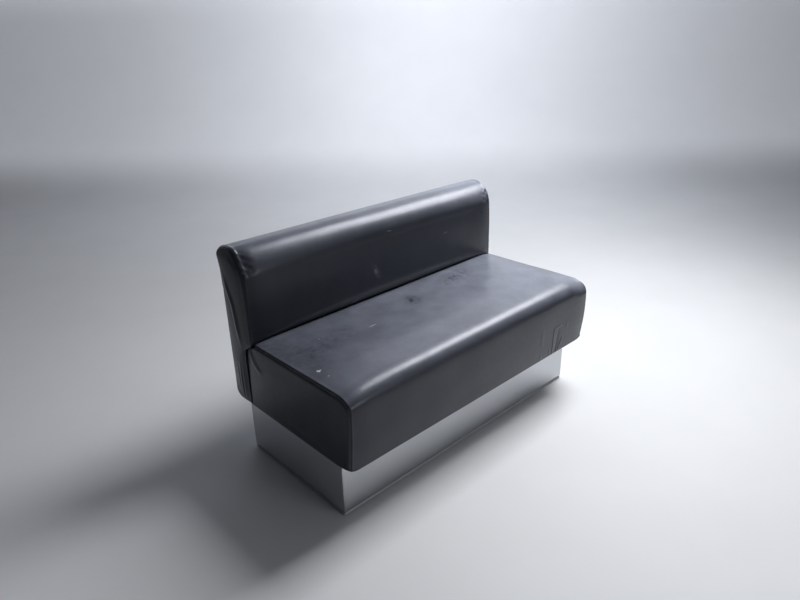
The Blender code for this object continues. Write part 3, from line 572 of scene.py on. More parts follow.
def swellCushion(name, coarse, fine, held, most):
    # cloth blown up on a coarse copy, with its seams and hidden sides held, and the fine points follow it
    model = latticeMesh(name + "_swell", coarse)
    group = model.vertex_groups.new(name="held")
    rowCount, loopCount = coarse["grid"].shape[:2]
    places = loopPlaces(coarse)
    for j, (x, inset, edge, angle, run) in enumerate(coarse["rows"]):
        for i in range(loopCount):
            if angle > 0 or held(places[i]):
                group.add([j * loopCount + i], 1.0, "REPLACE")
    cloth = model.modifiers.new("swell", "CLOTH")
    settings = cloth.settings
    settings.quality = clothSwell["quality"]
    settings.mass = clothSwell["mass"]
    settings.tension_stiffness = settings.compression_stiffness = clothSwell["tension"]
    settings.shear_stiffness = clothSwell["shear"]
    settings.bending_stiffness = clothSwell["bending"]
    settings.use_pressure = True
    settings.uniform_pressure_force = clothSwell["pressure"]
    settings.effector_weights.gravity = 0.0
    settings.vertex_group_mass = "held"
    cloth.point_cache.frame_start = 1
    cloth.point_cache.frame_end = clothSwell["frames"]
    for number in range(1, clothSwell["frames"] + 1):
        scene.frame_set(number)
    depsgraph = bpy.context.evaluated_depsgraph_get()
    moved = readVectors(model.evaluated_get(depsgraph).data, "co") - readVectors(model.data, "co")
    scene.frame_set(1)
    bpy.data.objects.remove(model)
    reach = np.linalg.norm(moved, axis=1, keepdims=True)
    print(name, "cloth moved up to %.1f mm" % (reach.max() * 1000))
    moved *= np.where(reach > 1e-9, most * np.tanh(reach / most) / np.maximum(reach, 1e-9), 1.0)
    byRow = splineWeights(rowPlaces(fine), rowPlaces(coarse))
    count = len(places)
    wrapped = np.concatenate((places[-2:] - 4, places, places[:2] + 4))
    around = splineWeights(loopPlaces(fine), wrapped)
    byLoop = np.zeros((len(around), count))
    for k, column in enumerate(np.arange(-2, count + 2) % count):
        byLoop[:, column] += around[:, k]
    tube = moved[:rowCount * loopCount].reshape(rowCount, loopCount, 3)
    parts = [np.einsum("ab,bcd,ec->aed", byRow, tube, byLoop).reshape(-1, 3)]
    for cap in coarse["caps"]:
        field = capField(coarse, moved, cap)
        byS = splineWeights(np.linspace(0, 1, fine["deep"] + 1), np.linspace(0, 1, coarse["deep"] + 1))
        byT = splineWeights(np.linspace(0, 1, fine["tall"] + 1), np.linspace(0, 1, coarse["tall"] + 1))
        parts.append(np.einsum("ab,bcd,ec->aed", byS, field, byT)[1:-1, 1:-1].reshape(-1, 3))
    return np.concatenate(parts)


def seamPlaces(lattice, points, sewn):
    # for each point: distance past the seam, positive on the end panel, place along it, strength and side
    form, deep, tall = lattice["form"], lattice["deep"], lattice["tall"]
    radius = form["endRound"]
    base = lattice["base"]
    step = np.roll(base, -1, 0) - np.roll(base, 1, 0)
    up = np.abs(step[:, 0]) / np.linalg.norm(step, axis=1)
    turn = (form["seamTop"] - form["seamFront"]) * smoothStep((up - 0.3) / 0.6)
    angle = np.radians(form["seamFront"] + turn)
    run = np.concatenate(([0], np.cumsum(np.linalg.norm(np.diff(base, axis=0), axis=1))))
    run = run - run[deep]
    places = loopPlaces(lattice)
    strength = np.array([sewn(p) for p in places])
    overTop = smoothStep((up - 0.25) / 0.5)
    away, along, power, side, top = [], [], [], [], []
    for x, inset, edge, rowAngle, past in lattice["rows"]:
        away.append(radius * (rowAngle - angle) - past)
        along.append(run)
        power.append(strength)
        side.append(np.full(len(run), math.copysign(1.0, x)))
        top.append(overTop)
    away, along, power, side, top = (np.concatenate(v) for v in (away, along, power, side, top))
    loopCount = len(base)
    for row, offset, sign in lattice["caps"]:
        tree = KDTree(loopCount)
        edgePoints = points[row * loopCount:(row + 1) * loopCount]
        for k, p in enumerate(edgePoints):
            tree.insert(p if strength[k] > 0.05 else p + np.array((0, 0, -9.0)), k)
        tree.balance()
        count = (deep - 1) * (tall - 1)
        found = [tree.find(p) for p in points[offset:offset + count]]
        number = np.array([f[1] for f in found])
        gap = np.array([f[2] for f in found])
        away = np.concatenate((away, radius * (math.pi / 2 - angle[number]) + gap))
        along = np.concatenate((along, run[number]))
        power = np.concatenate((power, strength[number]))
        side = np.concatenate((side, np.full(count, float(sign))))
        top = np.concatenate((top, overTop[number]))
    return {"away": away, "along": along, "power": power, "side": side, "top": top, "angle": angle,
            "run": run}


facings = {
    "front": ((0, 2), (0, -1, 0)),
    "rear": ((0, 2), (0, 1, 0)),
    "top": ((0, 1), (0, 0, 1)),
    "left": ((1, 2), (-1, 0, 0)),
    "right": ((1, 2), (1, 0, 0)),
}


def foldHeight(points, normals, side, fold):
    # a fold is a soft ridge, or a valley, along a line drawn on one side of the piece
    axes, facing = facings[side]
    flat = points[:, axes]
    line = np.array(fold["line"])
    lengths = np.linalg.norm(np.diff(line, axis=0), axis=1)
    total, before = lengths.sum(), np.concatenate(([0], np.cumsum(lengths)))
    reach = 3 * fold["width"]
    low, high = line.min(0) - reach, line.max(0) + reach
    chosen = np.where(np.all((flat > low) & (flat < high), axis=1) & (normals @ np.array(facing) > 0.1))[0]
    best, place = np.full(len(chosen), 9.0), np.zeros(len(chosen))
    for k in range(len(lengths)):
        a, b = line[k], line[k + 1]
        t = np.clip(((flat[chosen] - a) @ (b - a)) / lengths[k] ** 2, 0, 1)
        gap = np.linalg.norm(flat[chosen] - a - t[:, None] * (b - a), axis=1)
        nearer = gap < best
        best = np.where(nearer, gap, best)
        place = np.where(nearer, before[k] + t * lengths[k], place)
    fade = fold.get("fade", 0.3) * total
    ends = smoothStep(place / fade + fold.get("start", 0.0))
    ends *= smoothStep((total - place) / fade + fold.get("end", 0.0))
    turned = smoothStep((normals[chosen] @ np.array(facing) - 0.1) / 0.4)
    push = np.zeros(len(points))
    push[chosen] = fold["height"] * np.exp(-(best / fold["width"]) ** 2) * ends * turned
    return push


def softWaves(points, size, count, seed):
    # gentle unevenness of stuffed cover, from a few waves with fixed directions
    rng = np.random.default_rng(seed)
    total = np.zeros(len(points))
    for k in range(count):
        direction = rng.normal(size=3)
        direction *= 2 * math.pi / (size * rng.uniform(0.7, 1.6)) / np.linalg.norm(direction)
        total += np.sin(points @ direction + rng.uniform(0, 2 * math.pi))
    return total / math.sqrt(count)


def seamHeight(seam, look, beadShare):
    # groove, the bead beside it, and the hollow that the back's end panels have below their seam
    away, power = seam["away"], seam["power"]
    groove = -look["groove"] * np.exp(-(away / look["grooveWidth"]) ** 2)
    bead = look["bead"] * np.exp(-((away + look["beadAway"]) / look["beadWidth"]) ** 2) * beadShare
    hollow = 0.0
    if "hollow" in look:
        hollow = -look["hollow"] * np.exp(-((away - look["hollowAway"]) / look["hollowWidth"]) ** 2)
        hollow *= look["hollowFront"] + (1 - look["hollowFront"]) * seam["top"]
    return (groove + bead + hollow) * power


def puckerHeight(seam, look):
    # small creases square to the seam, where the cover is drawn in
    rng = np.random.default_rng(look["seed"])
    away, along = seam["away"], seam["along"]
    near = np.where((np.abs(away) < 0.06) & (seam["power"] > 0.3))[0]
    push = np.zeros(len(away))
    length = along.max()
    for sign in (-1.0, 1.0):
        here = near[seam["side"][near] == sign]
        for k in range(look["count"]):
            place = rng.uniform(along.min(), length)
            run, width = rng.uniform(0.006, look["run"]), rng.uniform(0.0022, look["width"])
            depth, skew = look["depth"] * rng.uniform(0.3, 1.0), rng.uniform(-0.35, 0.35)
            bias = rng.uniform(-0.3, 1.0)
            reach = np.where(away[here] * bias > 0, run, run * 0.45)
            line = (along[here] - place - skew * away[here]) / width
            crease = np.exp(-line ** 2) * (1 - 0.5 * line ** 2)
            push[here] -= depth * crease * np.exp(-(away[here] / reach) ** 2)
    for place, sign, depth, width, start, end in look["placed"]:
        here = near[seam["side"][near] == sign]
        line = (along[here] - place) / width
        across = smoothStep((away[here] - start) / 0.004) * smoothStep((end - away[here]) / 0.004)
        push[here] -= depth * np.exp(-line ** 2) * across
    return push


# Materials

def newMaterial(name):
    material = bpy.data.materials.new(name)
    material.use_nodes = True
    tree = material.node_tree
    shader = tree.nodes["Principled BSDF"]
    coords = addNode(tree, "ShaderNodeTexCoord").outputs["Object"]
    return material, tree, shader, coords


leatherMarks = (
    # pale specks on the seat near its left end, and a few scratches and chalky rubs
    {"at": (-0.5535, -0.1197, 0.455), "size": (0.0055, 0.0034, 0.02), "turn": (0, 0, 40), "gain": 7.0},
    {"at": (-0.5480, -0.1240, 0.455), "size": (0.0075, 0.0036, 0.02), "turn": (0, 0, 20), "gain": 9.0},
    {"at": (-0.5473, -0.1670, 0.455), "size": (0.0032, 0.0030, 0.02), "turn": (0, 0, 0), "gain": 5.0},
    {"at": (-0.4346, 0.0301, 0.460), "size": (0.0032, 0.0030, 0.02), "turn": (0, 0, 0), "gain": 1.8},
    {"at": (-0.2552, -0.0252, 0.462), "size": (0.0300, 0.0035, 0.02), "turn": (0, 0, 1), "gain": 0.9},
    {"at": (0.3075, 0.1660, 0.6122), "size": (0.0200, 0.02, 0.0030), "turn": (0, -7, 0), "gain": 0.35},
    {"at": (0.0144, 0.1680, 0.6899), "size": (0.0190, 0.02, 0.0030), "turn": (0, 7, 0), "gain": 0.2},
    {"at": (-0.0640, 0.1660, 0.5570), "size": (0.0160, 0.02, 0.0420), "turn": (0, -27, 0), "gain": 0.22},
    {"at": (-0.1580, 0.1700, 0.4680), "size": (0.0260, 0.02, 0.0060), "turn": (0, -8, 0), "gain": 0.30},
    {"at": (0.4170, 0.1660, 0.6320), "size": (0.0140, 0.02, 0.0040), "turn": (0, 4, 0), "gain": 0.15},
)
leatherRubs = (
    # darker places where the seat is rubbed smooth
    {"at": (-0.0130, 0.0300, 0.460), "size": (0.060, 0.045, 0.05), "turn": (0, 0, 60), "gain": 1.2},
    {"at": (0.2600, 0.0720, 0.460), "size": (0.130, 0.060, 0.05), "turn": (0, 0, 10), "gain": 1.0},
    {"at": (-0.5300, 0.0100, 0.460), "size": (0.110, 0.260, 0.05), "turn": (0, 0, -12), "gain": 0.45},
    {"at": (-0.4000, -0.0100, 0.460), "size": (0.160, 0.070, 0.05), "turn": (0, 0, 12), "gain": 0.5},
)


def sumMarks(tree, coords, marks):
    total = None
    for mark in marks:
        turn = tuple(math.radians(a) for a in mark["turn"])
        place = addNode(tree, "ShaderNodeMapping", {
            "Vector": coords, "Location": mark["at"], "Rotation": turn, "Scale": mark["size"]
        }, vector_type="TEXTURE")
        spot = addNode(tree, "ShaderNodeTexGradient", {"Vector": place}, gradient_type="SPHERICAL")
        inputs = {0: spot.outputs["Fac"], 1: mark["gain"], 2: 0.0 if total is None else total}
        total = addNode(tree, "ShaderNodeMath", inputs, operation="MULTIPLY_ADD")
    return total


def makeLeatherette():
    # coated fabric with an embossed grain: near black, half gloss, and greyed on what faces up by dust and
    # by a painted sheen
    look = {"grain": 0.0018,    # drawn a little coarse, to show
            "fine": 0.0006, "cloud": 0.090, "rub": 0.022, "crease": 0.016,
            "black": "#1d2026", "worn": "#2b2e36", "dust": "#8d92a2", "chalk": "#d4d6da", "sheen": "#e3e7f4"}
    material, tree, shader, coords = newMaterial("blackLeatherette")
    cells = addNode(tree, "ShaderNodeTexVoronoi", {
        "Vector": coords, "Scale": 1 / look["grain"]
    }, feature="DISTANCE_TO_EDGE")
    pores = addNode(tree, "ShaderNodeTexNoise", {
        "Vector": coords, "Scale": 1 / look["fine"], "Detail": 2.0
    })
    clouds = addNode(tree, "ShaderNodeTexNoise", {
        "Vector": coords, "Scale": 1 / look["cloud"], "Detail": 5.0, "Roughness": 0.62
    })
    rubbed = addNode(tree, "ShaderNodeTexNoise", {
        "Vector": coords, "Scale": 1 / look["rub"], "Detail": 6.0, "Roughness": 0.7
    })
    # painted sheen: what faces up gets a pale grey share, partly dust and partly a painted grazing sheen
    upward = addNode(tree, "ShaderNodeSeparateXYZ", {
        0: addNode(tree, "ShaderNodeNewGeometry").outputs["Normal"]
    })
    facing = addNode(tree, "ShaderNodeMapRange", {
        "Value": upward.outputs["Z"], "From Min": 0.2, "From Max": 1.0
    })
    marks = sumMarks(tree, coords, leatherMarks)
    rubs = sumMarks(tree, coords, leatherRubs)
    broken = addNode(tree, "ShaderNodeMapRange", {"Value": rubbed, "From Min": 0.42, "From Max": 0.62})
    smooth = addNode(tree, "ShaderNodeMath", {0: rubs, 1: broken}, operation="MULTIPLY", use_clamp=True)
    spread = addNode(tree, "ShaderNodeMapRange", {
        "Value": clouds, "From Min": 0.35, "From Max": 0.65, "To Min": 0.70, "To Max": 1.0
    })
    dustAndSheen = addNode(tree, "ShaderNodeMath", {0: facing, 1: spread}, operation="MULTIPLY")
    kept = addNode(tree, "ShaderNodeMath", {0: 1.0, 1: smooth}, operation="SUBTRACT", use_clamp=True)
    dustAndSheen = addNode(tree, "ShaderNodeMath", {0: dustAndSheen, 1: kept}, operation="MULTIPLY")
    # painted light: the grey of dust and painted sheen grows towards the right, standing in for stronger
    # light there
    across = addNode(tree, "ShaderNodeSeparateXYZ", {0: coords})
    paintedSheenToRight = addNode(tree, "ShaderNodeMapRange", {
        "Value": across.outputs["X"], "From Min": -0.5, "From Max": 0.5, "To Min": 0.36, "To Max": 0.70
    })
    share = addNode(tree, "ShaderNodeMath", {0: dustAndSheen, 1: paintedSheenToRight}, operation="MULTIPLY")
    tone = addNode(tree, "ShaderNodeMix", {
        "Factor": clouds, "A": hexColor(look["black"]), "B": hexColor(look["worn"])
    }, data_type="RGBA")
    # the pale grey mixed in here is dust and a painted sheen together
    dustAndSheenTone = addNode(tree, "ShaderNodeMix", {
        "Factor": share, "A": tone, "B": hexColor(look["dust"])
    }, data_type="RGBA")
    scuff = addNode(tree, "ShaderNodeMath", {0: marks, 1: broken}, operation="MULTIPLY", use_clamp=True)
    marked = addNode(tree, "ShaderNodeMix", {
        "Factor": scuff, "A": dustAndSheenTone, "B": hexColor(look["chalk"])
    }, data_type="RGBA")
    gloss = addNode(tree, "ShaderNodeMapRange", {
        "Value": rubbed, "From Min": 0.3, "From Max": 0.7, "To Min": 0.27, "To Max": 0.38
    })
    duller = addNode(tree, "ShaderNodeMath", {0: dustAndSheen, 1: 0.06, 2: gloss}, operation="MULTIPLY_ADD")
    height = addNode(tree, "ShaderNodeMath", {0: pores, 1: 0.25, 2: cells}, operation="MULTIPLY_ADD")
    drawn = addNode(tree, "ShaderNodeMapping", {
        "Vector": coords, "Rotation": (0.0, 0.0, 0.35), "Scale": (1.0, 0.3, 0.3)
    })
    creases = addNode(tree, "ShaderNodeTexNoise", {
        "Vector": drawn, "Scale": 1 / look["crease"], "Detail": 3.0, "Roughness": 0.6, "Distortion": 0.8
    })
    creased = addNode(tree, "ShaderNodeBump", {
        "Height": creases, "Strength": 0.32, "Distance": look["crease"] * 0.05
    })
    bump = addNode(tree, "ShaderNodeBump", {
        "Height": height, "Strength": 0.16, "Distance": look["grain"] * 0.15, "Normal": creased
    })
    setInputs(tree, shader, {"Base Color": marked, "Roughness": duller, "Normal": bump, "IOR": 1.45,
                             "Specular Tint": hexColor(look["sheen"]), "Coat Weight": 0.15,
                             "Coat Roughness": 0.26})
    return material


def makeSatinMetal():
    # satin aluminium foil on board, finely brushed along its length
    look = {"brush": 0.0016, "smudge": 0.12, "metal": "#c3c5c8"}
    material, tree, shader, coords = newMaterial("satinAluminiumFoil")
    stretched = addNode(tree, "ShaderNodeMapping", {"Vector": coords, "Scale": (0.02, 0.02, 1.0)})
    brush = addNode(tree, "ShaderNodeTexNoise", {
        "Vector": stretched, "Scale": 1 / look["brush"], "Detail": 2.0
    })
    smudge = addNode(tree, "ShaderNodeTexNoise", {
        "Vector": coords, "Scale": 1 / look["smudge"], "Detail": 5.0
    })
    gloss = addNode(tree, "ShaderNodeMapRange", {
        "Value": smudge, "From Min": 0.3, "From Max": 0.7, "To Min": 0.32, "To Max": 0.42
    })
    bump = addNode(tree, "ShaderNodeBump", {"Height": brush, "Strength": 0.05, "Distance": 0.0004})
    setInputs(tree, shader, {"Base Color": hexColor(look["metal"]), "Metallic": 1.0, "Roughness": gloss,
                             "Normal": bump})
    return material


def makeWood(name, pale, dark, ringSize, roughness):
    # sawn or peeled wood: long streaks along the board, dull
    material, tree, shader, coords = newMaterial(name)
    stretched = addNode(tree, "ShaderNodeMapping", {"Vector": coords, "Scale": (0.06, 0.8, 0.8)})
    rings = addNode(tree, "ShaderNodeTexNoise", {
        "Vector": stretched, "Scale": 1 / ringSize, "Detail": 5.0, "Distortion": 0.4
    })
    tone = addNode(tree, "ShaderNodeMix", {
        "Factor": rings, "A": hexColor(pale), "B": hexColor(dark)
    }, data_type="RGBA")
    bump = addNode(tree, "ShaderNodeBump", {"Height": rings, "Strength": 0.2, "Distance": 0.0006})
    setInputs(tree, shader, {"Base Color": tone, "Normal": bump, "Roughness": roughness})
    return material


def makeSpeckled(name, pale, dark, grit, roughness, metallic=0.0, relief=0.15):
    # fine-grained finish: moulded plastic, zinc plating, chipboard or nonwoven cloth, by its grit and gloss
    material, tree, shader, coords = newMaterial(name)
    grains = addNode(tree, "ShaderNodeTexNoise", {"Vector": coords, "Scale": 1 / grit, "Detail": 4.0})
    spread = addNode(tree, "ShaderNodeMapRange", {"Value": grains, "From Min": 0.35, "From Max": 0.65})
    tone = addNode(tree, "ShaderNodeMix", {
        "Factor": spread, "A": hexColor(pale), "B": hexColor(dark)
    }, data_type="RGBA")
    bump = addNode(tree, "ShaderNodeBump", {"Height": grains, "Strength": relief, "Distance": grit * 0.3})
    setInputs(tree, shader, {"Base Color": tone, "Normal": bump, "Roughness": roughness,
                             "Metallic": metallic})
    return material


leatherette = makeLeatherette()
satinMetal = makeSatinMetal()
blackThread = makeSpeckled("blackPolyesterThread", "#17181b", "#0d0e10", 0.0004, 0.6, relief=0.4)
finishes = {
    "foiled_board": satinMetal,
    "chipboard": makeSpeckled("rawChipboard", "#cbaa7c", "#9a7647", 0.004, 0.8, relief=0.5),
    "grey_plastic": makeSpeckled("greyPvcProfile", "#c9cbce", "#b9bbbf", 0.0010, 0.35),
    "black_plastic": makeSpeckled("blackNylon", "#1d1d1e", "#141415", 0.0008, 0.5),
    "softwood": makeWood("sawnPine", "#dcbf92", "#b98d56", 0.006, 0.75),
    "plywood": makeWood("peeledPlywood", "#d6b98c", "#bd9864", 0.012, 0.7),
    "black_cloth": makeSpeckled("blackNonwovenCloth", "#1b1b1d", "#0e0e10", 0.0012, 0.9, relief=0.5),
    "zinc_steel": makeSpeckled("zincPlatedSteel", "#c6c8ca", "#a9acb0", 0.0015, 0.35, metallic=1.0,
                               relief=0.05),
}
for part in frame["record"]["subparts"]:
    if part["material_slot"] in finishes:
        node = frame["nodes"][part["node"]]
        node.data.materials.clear()
        node.data.materials.append(finishes[part["material_slot"]])
print("materials ready")


# Seat cushion

seatSeam = {"groove": 0.0017, "grooveWidth": 0.0013, "bead": 0.0006, "beadAway": 0.0045, "beadWidth": 0.0030}
seatFolds = {"front": (
    # pinched folds low on the front, near the right end
    {"width": 0.0024, "height": 0.0020, "start": 0.5, "end": 0.5, "fade": 0.12, "line": (
        (0.401, 0.209), (0.399, 0.2256), (0.3965, 0.280), (0.3956, 0.312), (0.401, 0.3195), (0.420, 0.322),
        (0.4426, 0.3198))},
    {"width": 0.0024, "height": 0.0019, "end": 0.3, "line": (
        (0.4631, 0.2781), (0.452, 0.252), (0.438, 0.2217), (0.434, 0.208))},
    {"width": 0.0100, "height": -0.0014, "end": 0.2, "line": ((0.424, 0.316), (0.418, 0.210))},
    {"width": 0.0022, "height": 0.0014, "end": 0.3, "line": ((0.3764, 0.2442), (0.380, 0.208))},
    {"width": 0.0022, "height": 0.0018, "end": 0.3, "line": ((0.4238, 0.2374), (0.427, 0.208))},
    {"width": 0.0040, "height": 0.0012, "end": 0.3, "line": ((0.3227, 0.2388), (0.3255, 0.208))},
    {"width": 0.0070, "height": 0.0006, "line": ((0.3175, 0.3518), (0.321, 0.300), (0.322, 0.260))},
    {"width": 0.0060, "height": 0.0007, "line": ((0.4764, 0.3216), (0.4805, 0.2932))},
), "top": (
    # drawn creases on the top, by the rear of the left seam
    {"width": 0.0032, "height": 0.0016, "start": 0.5, "line": ((-0.590, 0.188), (-0.556, 0.158))},
    {"width": 0.0034, "height": 0.0017, "start": 0.5, "line": ((-0.592, 0.160), (-0.545, 0.124))},
    {"width": 0.0032, "height": 0.0015, "start": 0.5, "line": ((-0.593, 0.128), (-0.540, 0.096))},
    {"width": 0.0034, "height": 0.0012, "start": 0.5, "line": ((-0.592, 0.092), (-0.556, 0.066))},
), "left": (
    # gathers at the rear top of the left end
    {"width": 0.0085, "height": 0.0030, "start": 0.6, "line": (
        (0.199, 0.440), (0.192, 0.415), (0.178, 0.393), (0.154, 0.376), (0.118, 0.362))},
    {"width": 0.0050, "height": -0.0016, "start": 0.6, "line": (
        (0.190, 0.443), (0.182, 0.428), (0.172, 0.414))},
)}
seatPuckers = {"seed": 11, "count": 46, "run": 0.022, "width": 0.0050, "depth": 0.0007, "placed": []}
seatNotches = {"width": 0.0019, "left": (   # height, depth, and how far each reaches across the seam
    (0.412, 0.0012, -0.010, 0.030), (0.402, 0.0012, -0.004, 0.016), (0.393, 0.0011, -0.008, 0.020),
    (0.383, 0.0010, -0.005, 0.014), (0.374, 0.0008, -0.004, 0.010), (0.421, 0.0008, -0.004, 0.022))}
seatOffsets = {
    "swell": 0.006,          # most that the cloth moves, and the share of it kept off the front edge
    "firm": 0.85,
    "firmFrom": -0.16,
    "firmRun": 0.09,
    "unevenness": 0.0005,
    "unevenSize": 0.16,
    "rightCorner": 0.017,    # the right end stands out at its front corner
    "cornerLow": 0.215,
    "cornerX": (0.46, 0.13),     # where it begins, and how far it takes to be full
    "cornerY": (0.10, 0.30),
    "rightFoot": 0.013,      # the foot is drawn up at both front corners
    "leftFoot": 0.010,
    "footX": (0.558, 0.038),
    "footY": (-0.235, 0.068),
    "footZ": (0.203, 0.06),
}


# where the end seams run and what the cloth is held by, as places round the loop from 0 to 4

def seatSewn(place):
    return float(smoothStep((place - 0.98) / 0.06) * smoothStep((3.0 - place) / 0.06))


def seatHeld(place):
    return place < 1.02 or place > 2.96


def makeSeat():
    offsets = seatOffsets
    lattice = makeLattice(seatForm, seatFine, seatSides, seatPoint)
    cushion = latticeMesh("seat_cushion", lattice)
    points = readVectors(cushion.data, "co")
    coarse = makeLattice(seatForm, seatCoarse, seatSides, seatPoint)
    firm = 1 - offsets["firm"] * smoothStep((offsets["firmFrom"] - points[:, 1]) / offsets["firmRun"])
    points += swellCushion("seat_cushion", coarse, lattice, seatHeld, offsets["swell"]) * firm[:, None]
    setPoints(cushion.data, points)
    seam = seamPlaces(lattice, points, seatSewn)
    normals = readVectors(cushion.data, "normal")
    # short notches across the front seam, below the rolled corner at the left
    deep, tall, base = lattice["deep"], lattice["tall"], lattice["base"]
    rising = base[deep:deep + tall, 1]
    for z, depth, start, end in seatNotches["left"]:
        place = float(np.interp(z, rising, seam["run"][deep:deep + tall]))
        seatPuckers["placed"].append((place, -1.0, depth, seatNotches["width"], start, end))
    push = seamHeight(seam, seatSeam, 1.0) + puckerHeight(seam, seatPuckers)
    for side, folds in seatFolds.items():
        for fold in folds:
            push += foldHeight(points, normals, side, fold)
    free = smoothStep((points[:, 2] - seatForm["base"] - 0.01) / 0.05)
    free *= smoothStep((0.16 - points[:, 1]) / 0.05)
    push += offsets["unevenness"] * softWaves(points, offsets["unevenSize"], 14, 5) * free
    points = points + normals * push[:, None]
    rise = np.clip((points[:, 2] - offsets["cornerLow"]) / (seatForm["top"] - offsets["cornerLow"]), 0, 1)
    bulge = 0.6 + 0.4 * np.sin(math.pi * rise ** 1.2)
    ahead = fadeIn(points[:, 1], offsets["cornerY"], -1)
    low = (1 - fadeIn(points[:, 2], offsets["footZ"])) * rampIn(points[:, 1], offsets["footY"], -1)
    for sign, lift in ((1, offsets["rightFoot"]), (-1, offsets["leftFoot"])):
        points[:, 2] += lift * low * rampIn(sign * points[:, 0], offsets["footX"])
    points[:, 0] += offsets["rightCorner"] * bulge * ahead * fadeIn(points[:, 0], offsets["cornerX"])
    setPoints(cushion.data, points)
    return cushion, lattice, seam


seatCushion, seatLattice, seatSeamPlaces = makeSeat()
print("seat cushion ready:", len(seatCushion.data.polygons), "faces")


# Back cushion

backSeam = {"groove": 0.0016, "grooveWidth": 0.0013, "bead": 0.0020, "beadAway": 0.0110, "beadWidth": 0.0045,
            "hollow": 0.0014, "hollowAway": 0.014, "hollowWidth": 0.012, "hollowFront": 0.5}
backFolds = {"left": (
    # long slack fold down the left end, and short ones at its foot
    {"width": 0.0090, "height": 0.0045, "line": (
        (0.306, 0.694), (0.280, 0.635), (0.2527, 0.5735), (0.238, 0.490), (0.230, 0.4091))},
    {"width": 0.0060, "height": 0.0020, "end": 0.5, "line": ((0.252, 0.377), (0.2594, 0.225))},
    {"width": 0.0050, "height": 0.0012, "end": 0.5, "line": ((0.240, 0.370), (0.244, 0.225))},
    {"width": 0.0040, "height": -0.0010, "end": 0.5, "line": ((0.246, 0.360), (0.2515, 0.225))},
    {"width": 0.0070, "height": 0.0016, "line": ((0.272, 0.345), (0.273, 0.235))},
), "front": (
    # puckers where the roll meets the ends
    {"width": 0.0032, "height": 0.0011, "start": 0.4, "line": ((-0.597, 0.6925), (-0.578, 0.684))},
    {"width": 0.0036, "height": 0.0009, "start": 0.4, "line": ((-0.594, 0.7060), (-0.562, 0.694))},
    {"width": 0.0050, "height": -0.0009, "line": ((-0.592, 0.6990), (-0.568, 0.689))},
    {"width": 0.0040, "height": 0.0016, "start": 0.5, "line": ((0.590, 0.742), (0.556, 0.716))},
    {"width": 0.0040, "height": 0.0014, "start": 0.5, "line": ((0.592, 0.722), (0.566, 0.700))},
    {"width": 0.0050, "height": -0.0012, "line": ((0.590, 0.732), (0.562, 0.708))},
)}
backPuckers = {"seed": 23, "count": 40, "run": 0.020, "width": 0.0050, "depth": 0.0006, "placed": []}
backOffsets = {
    "swell": 0.004,          # most that the cloth moves
    "unevenness": 0.0005,
    "unevenSize": 0.17,
    "rollFrom": (0.665, 0.05),   # height where the bead by the seam begins
    "tilt": 0.0050,          # the top is a little fuller at the left
    "tiltFrom": (0.56, 0.20),
    "rearCorner": 0.014,     # its rear corner there leans out
    "rearX": (-0.50, 0.09),
    "rearY": (0.23, 0.08),
    "rearZ": (0.740, 0.045),
    "leftDraw": 0.014,       # and its front corner is drawn back
    "drawX": (-0.545, 0.05),
    "drawY": (0.275, 0.06),
    "drawZ": (0.730, 0.035),
}


def backSewn(place):
    return float(smoothStep((place - 0.98) / 0.06) * smoothStep((3.97 - place) / 0.1))


def backHeld(place):
    return place < 1.42 or place > 3.18


def makeBack():
    offsets = backOffsets
    lattice = makeLattice(backForm, backFine, backSides, backPoint)
    cushion = latticeMesh("back_cushion", lattice)
    points = readVectors(cushion.data, "co")
    coarse = makeLattice(backForm, backCoarse, backSides, backPoint)
    points += swellCushion("back_cushion", coarse, lattice, backHeld, offsets["swell"])
    setPoints(cushion.data, points)
    seam = seamPlaces(lattice, points, backSewn)
    normals = readVectors(cushion.data, "normal")
    overRoll = fadeIn(points[:, 2], offsets["rollFrom"])
    push = seamHeight(seam, backSeam, overRoll) + puckerHeight(seam, backPuckers)
    for side, folds in backFolds.items():
        for fold in folds:
            push += foldHeight(points, normals, side, fold)
    free = smoothStep((points[:, 2] - 0.47) / 0.05) * smoothStep((0.29 - points[:, 1]) / 0.03)
    push += offsets["unevenness"] * softWaves(points, offsets["unevenSize"], 14, 9) * free
    points = points + normals * push[:, None]
    rise = fadeIn(points[:, 2], offsets["tiltFrom"])
    points[:, 2] -= offsets["tilt"] * np.clip(points[:, 0] / backForm["half"], -1, 1) * rise
    middle, spread = offsets["rearZ"]
    corner = np.exp(-((points[:, 2] - middle) / spread) ** 2) * fadeIn(points[:, 1], offsets["rearY"])
    points[:, 1] += offsets["rearCorner"] * corner * fadeIn(points[:, 0], offsets["rearX"], -1)
    middle, spread = offsets["drawZ"]
    drawn = np.exp(-((points[:, 2] - middle) / spread) ** 2) * fadeIn(points[:, 1], offsets["drawY"], -1)
    points[:, 1] += offsets["leftDraw"] * drawn * fadeIn(points[:, 0], offsets["drawX"], -1)
    setPoints(cushion.data, points)
    return cushion, lattice, seam


backCushion, backLattice, backSeamPlaces = makeBack()
print("back cushion ready:", len(backCushion.data.polygons), "faces")

dress(seatCushion, leatherette, "leatherette", "seat_cover_main", "seat_cover_left_end",
      "seat_cover_right_end", "seat_foam", "seat_front_pad", "seat_left_pad", "seat_right_pad")
dress(backCushion, leatherette, "leatherette", "back_cover_main", "back_cover_left_end",
      "back_cover_right_end", "back_foam", "back_left_pad", "back_right_pad")


# Outside back: one panel drawn over the rear, turned in at its edges and tacked under the foot

outsideForm = {
    "across": 170,
    "down": 66,
    "proud": 0.0010,         # reach past the solid at each end
    "edge": 0.02,            # finer columns along the ends
    "thick": 0.0014,
    "lift": 0.0009,
    "turnIn": 0.005,
    "tackPitch": 0.045,
    "tackPull": 0.0007,
    "tackFade": 0.02,
    "unevenness": 0.0004,
    "unevenSize": 0.22,
    "under": 0.024,          # reach under the foot
    "hems": (0.03, 0.02),    # cut larger than it shows, for the turned-in edges
}


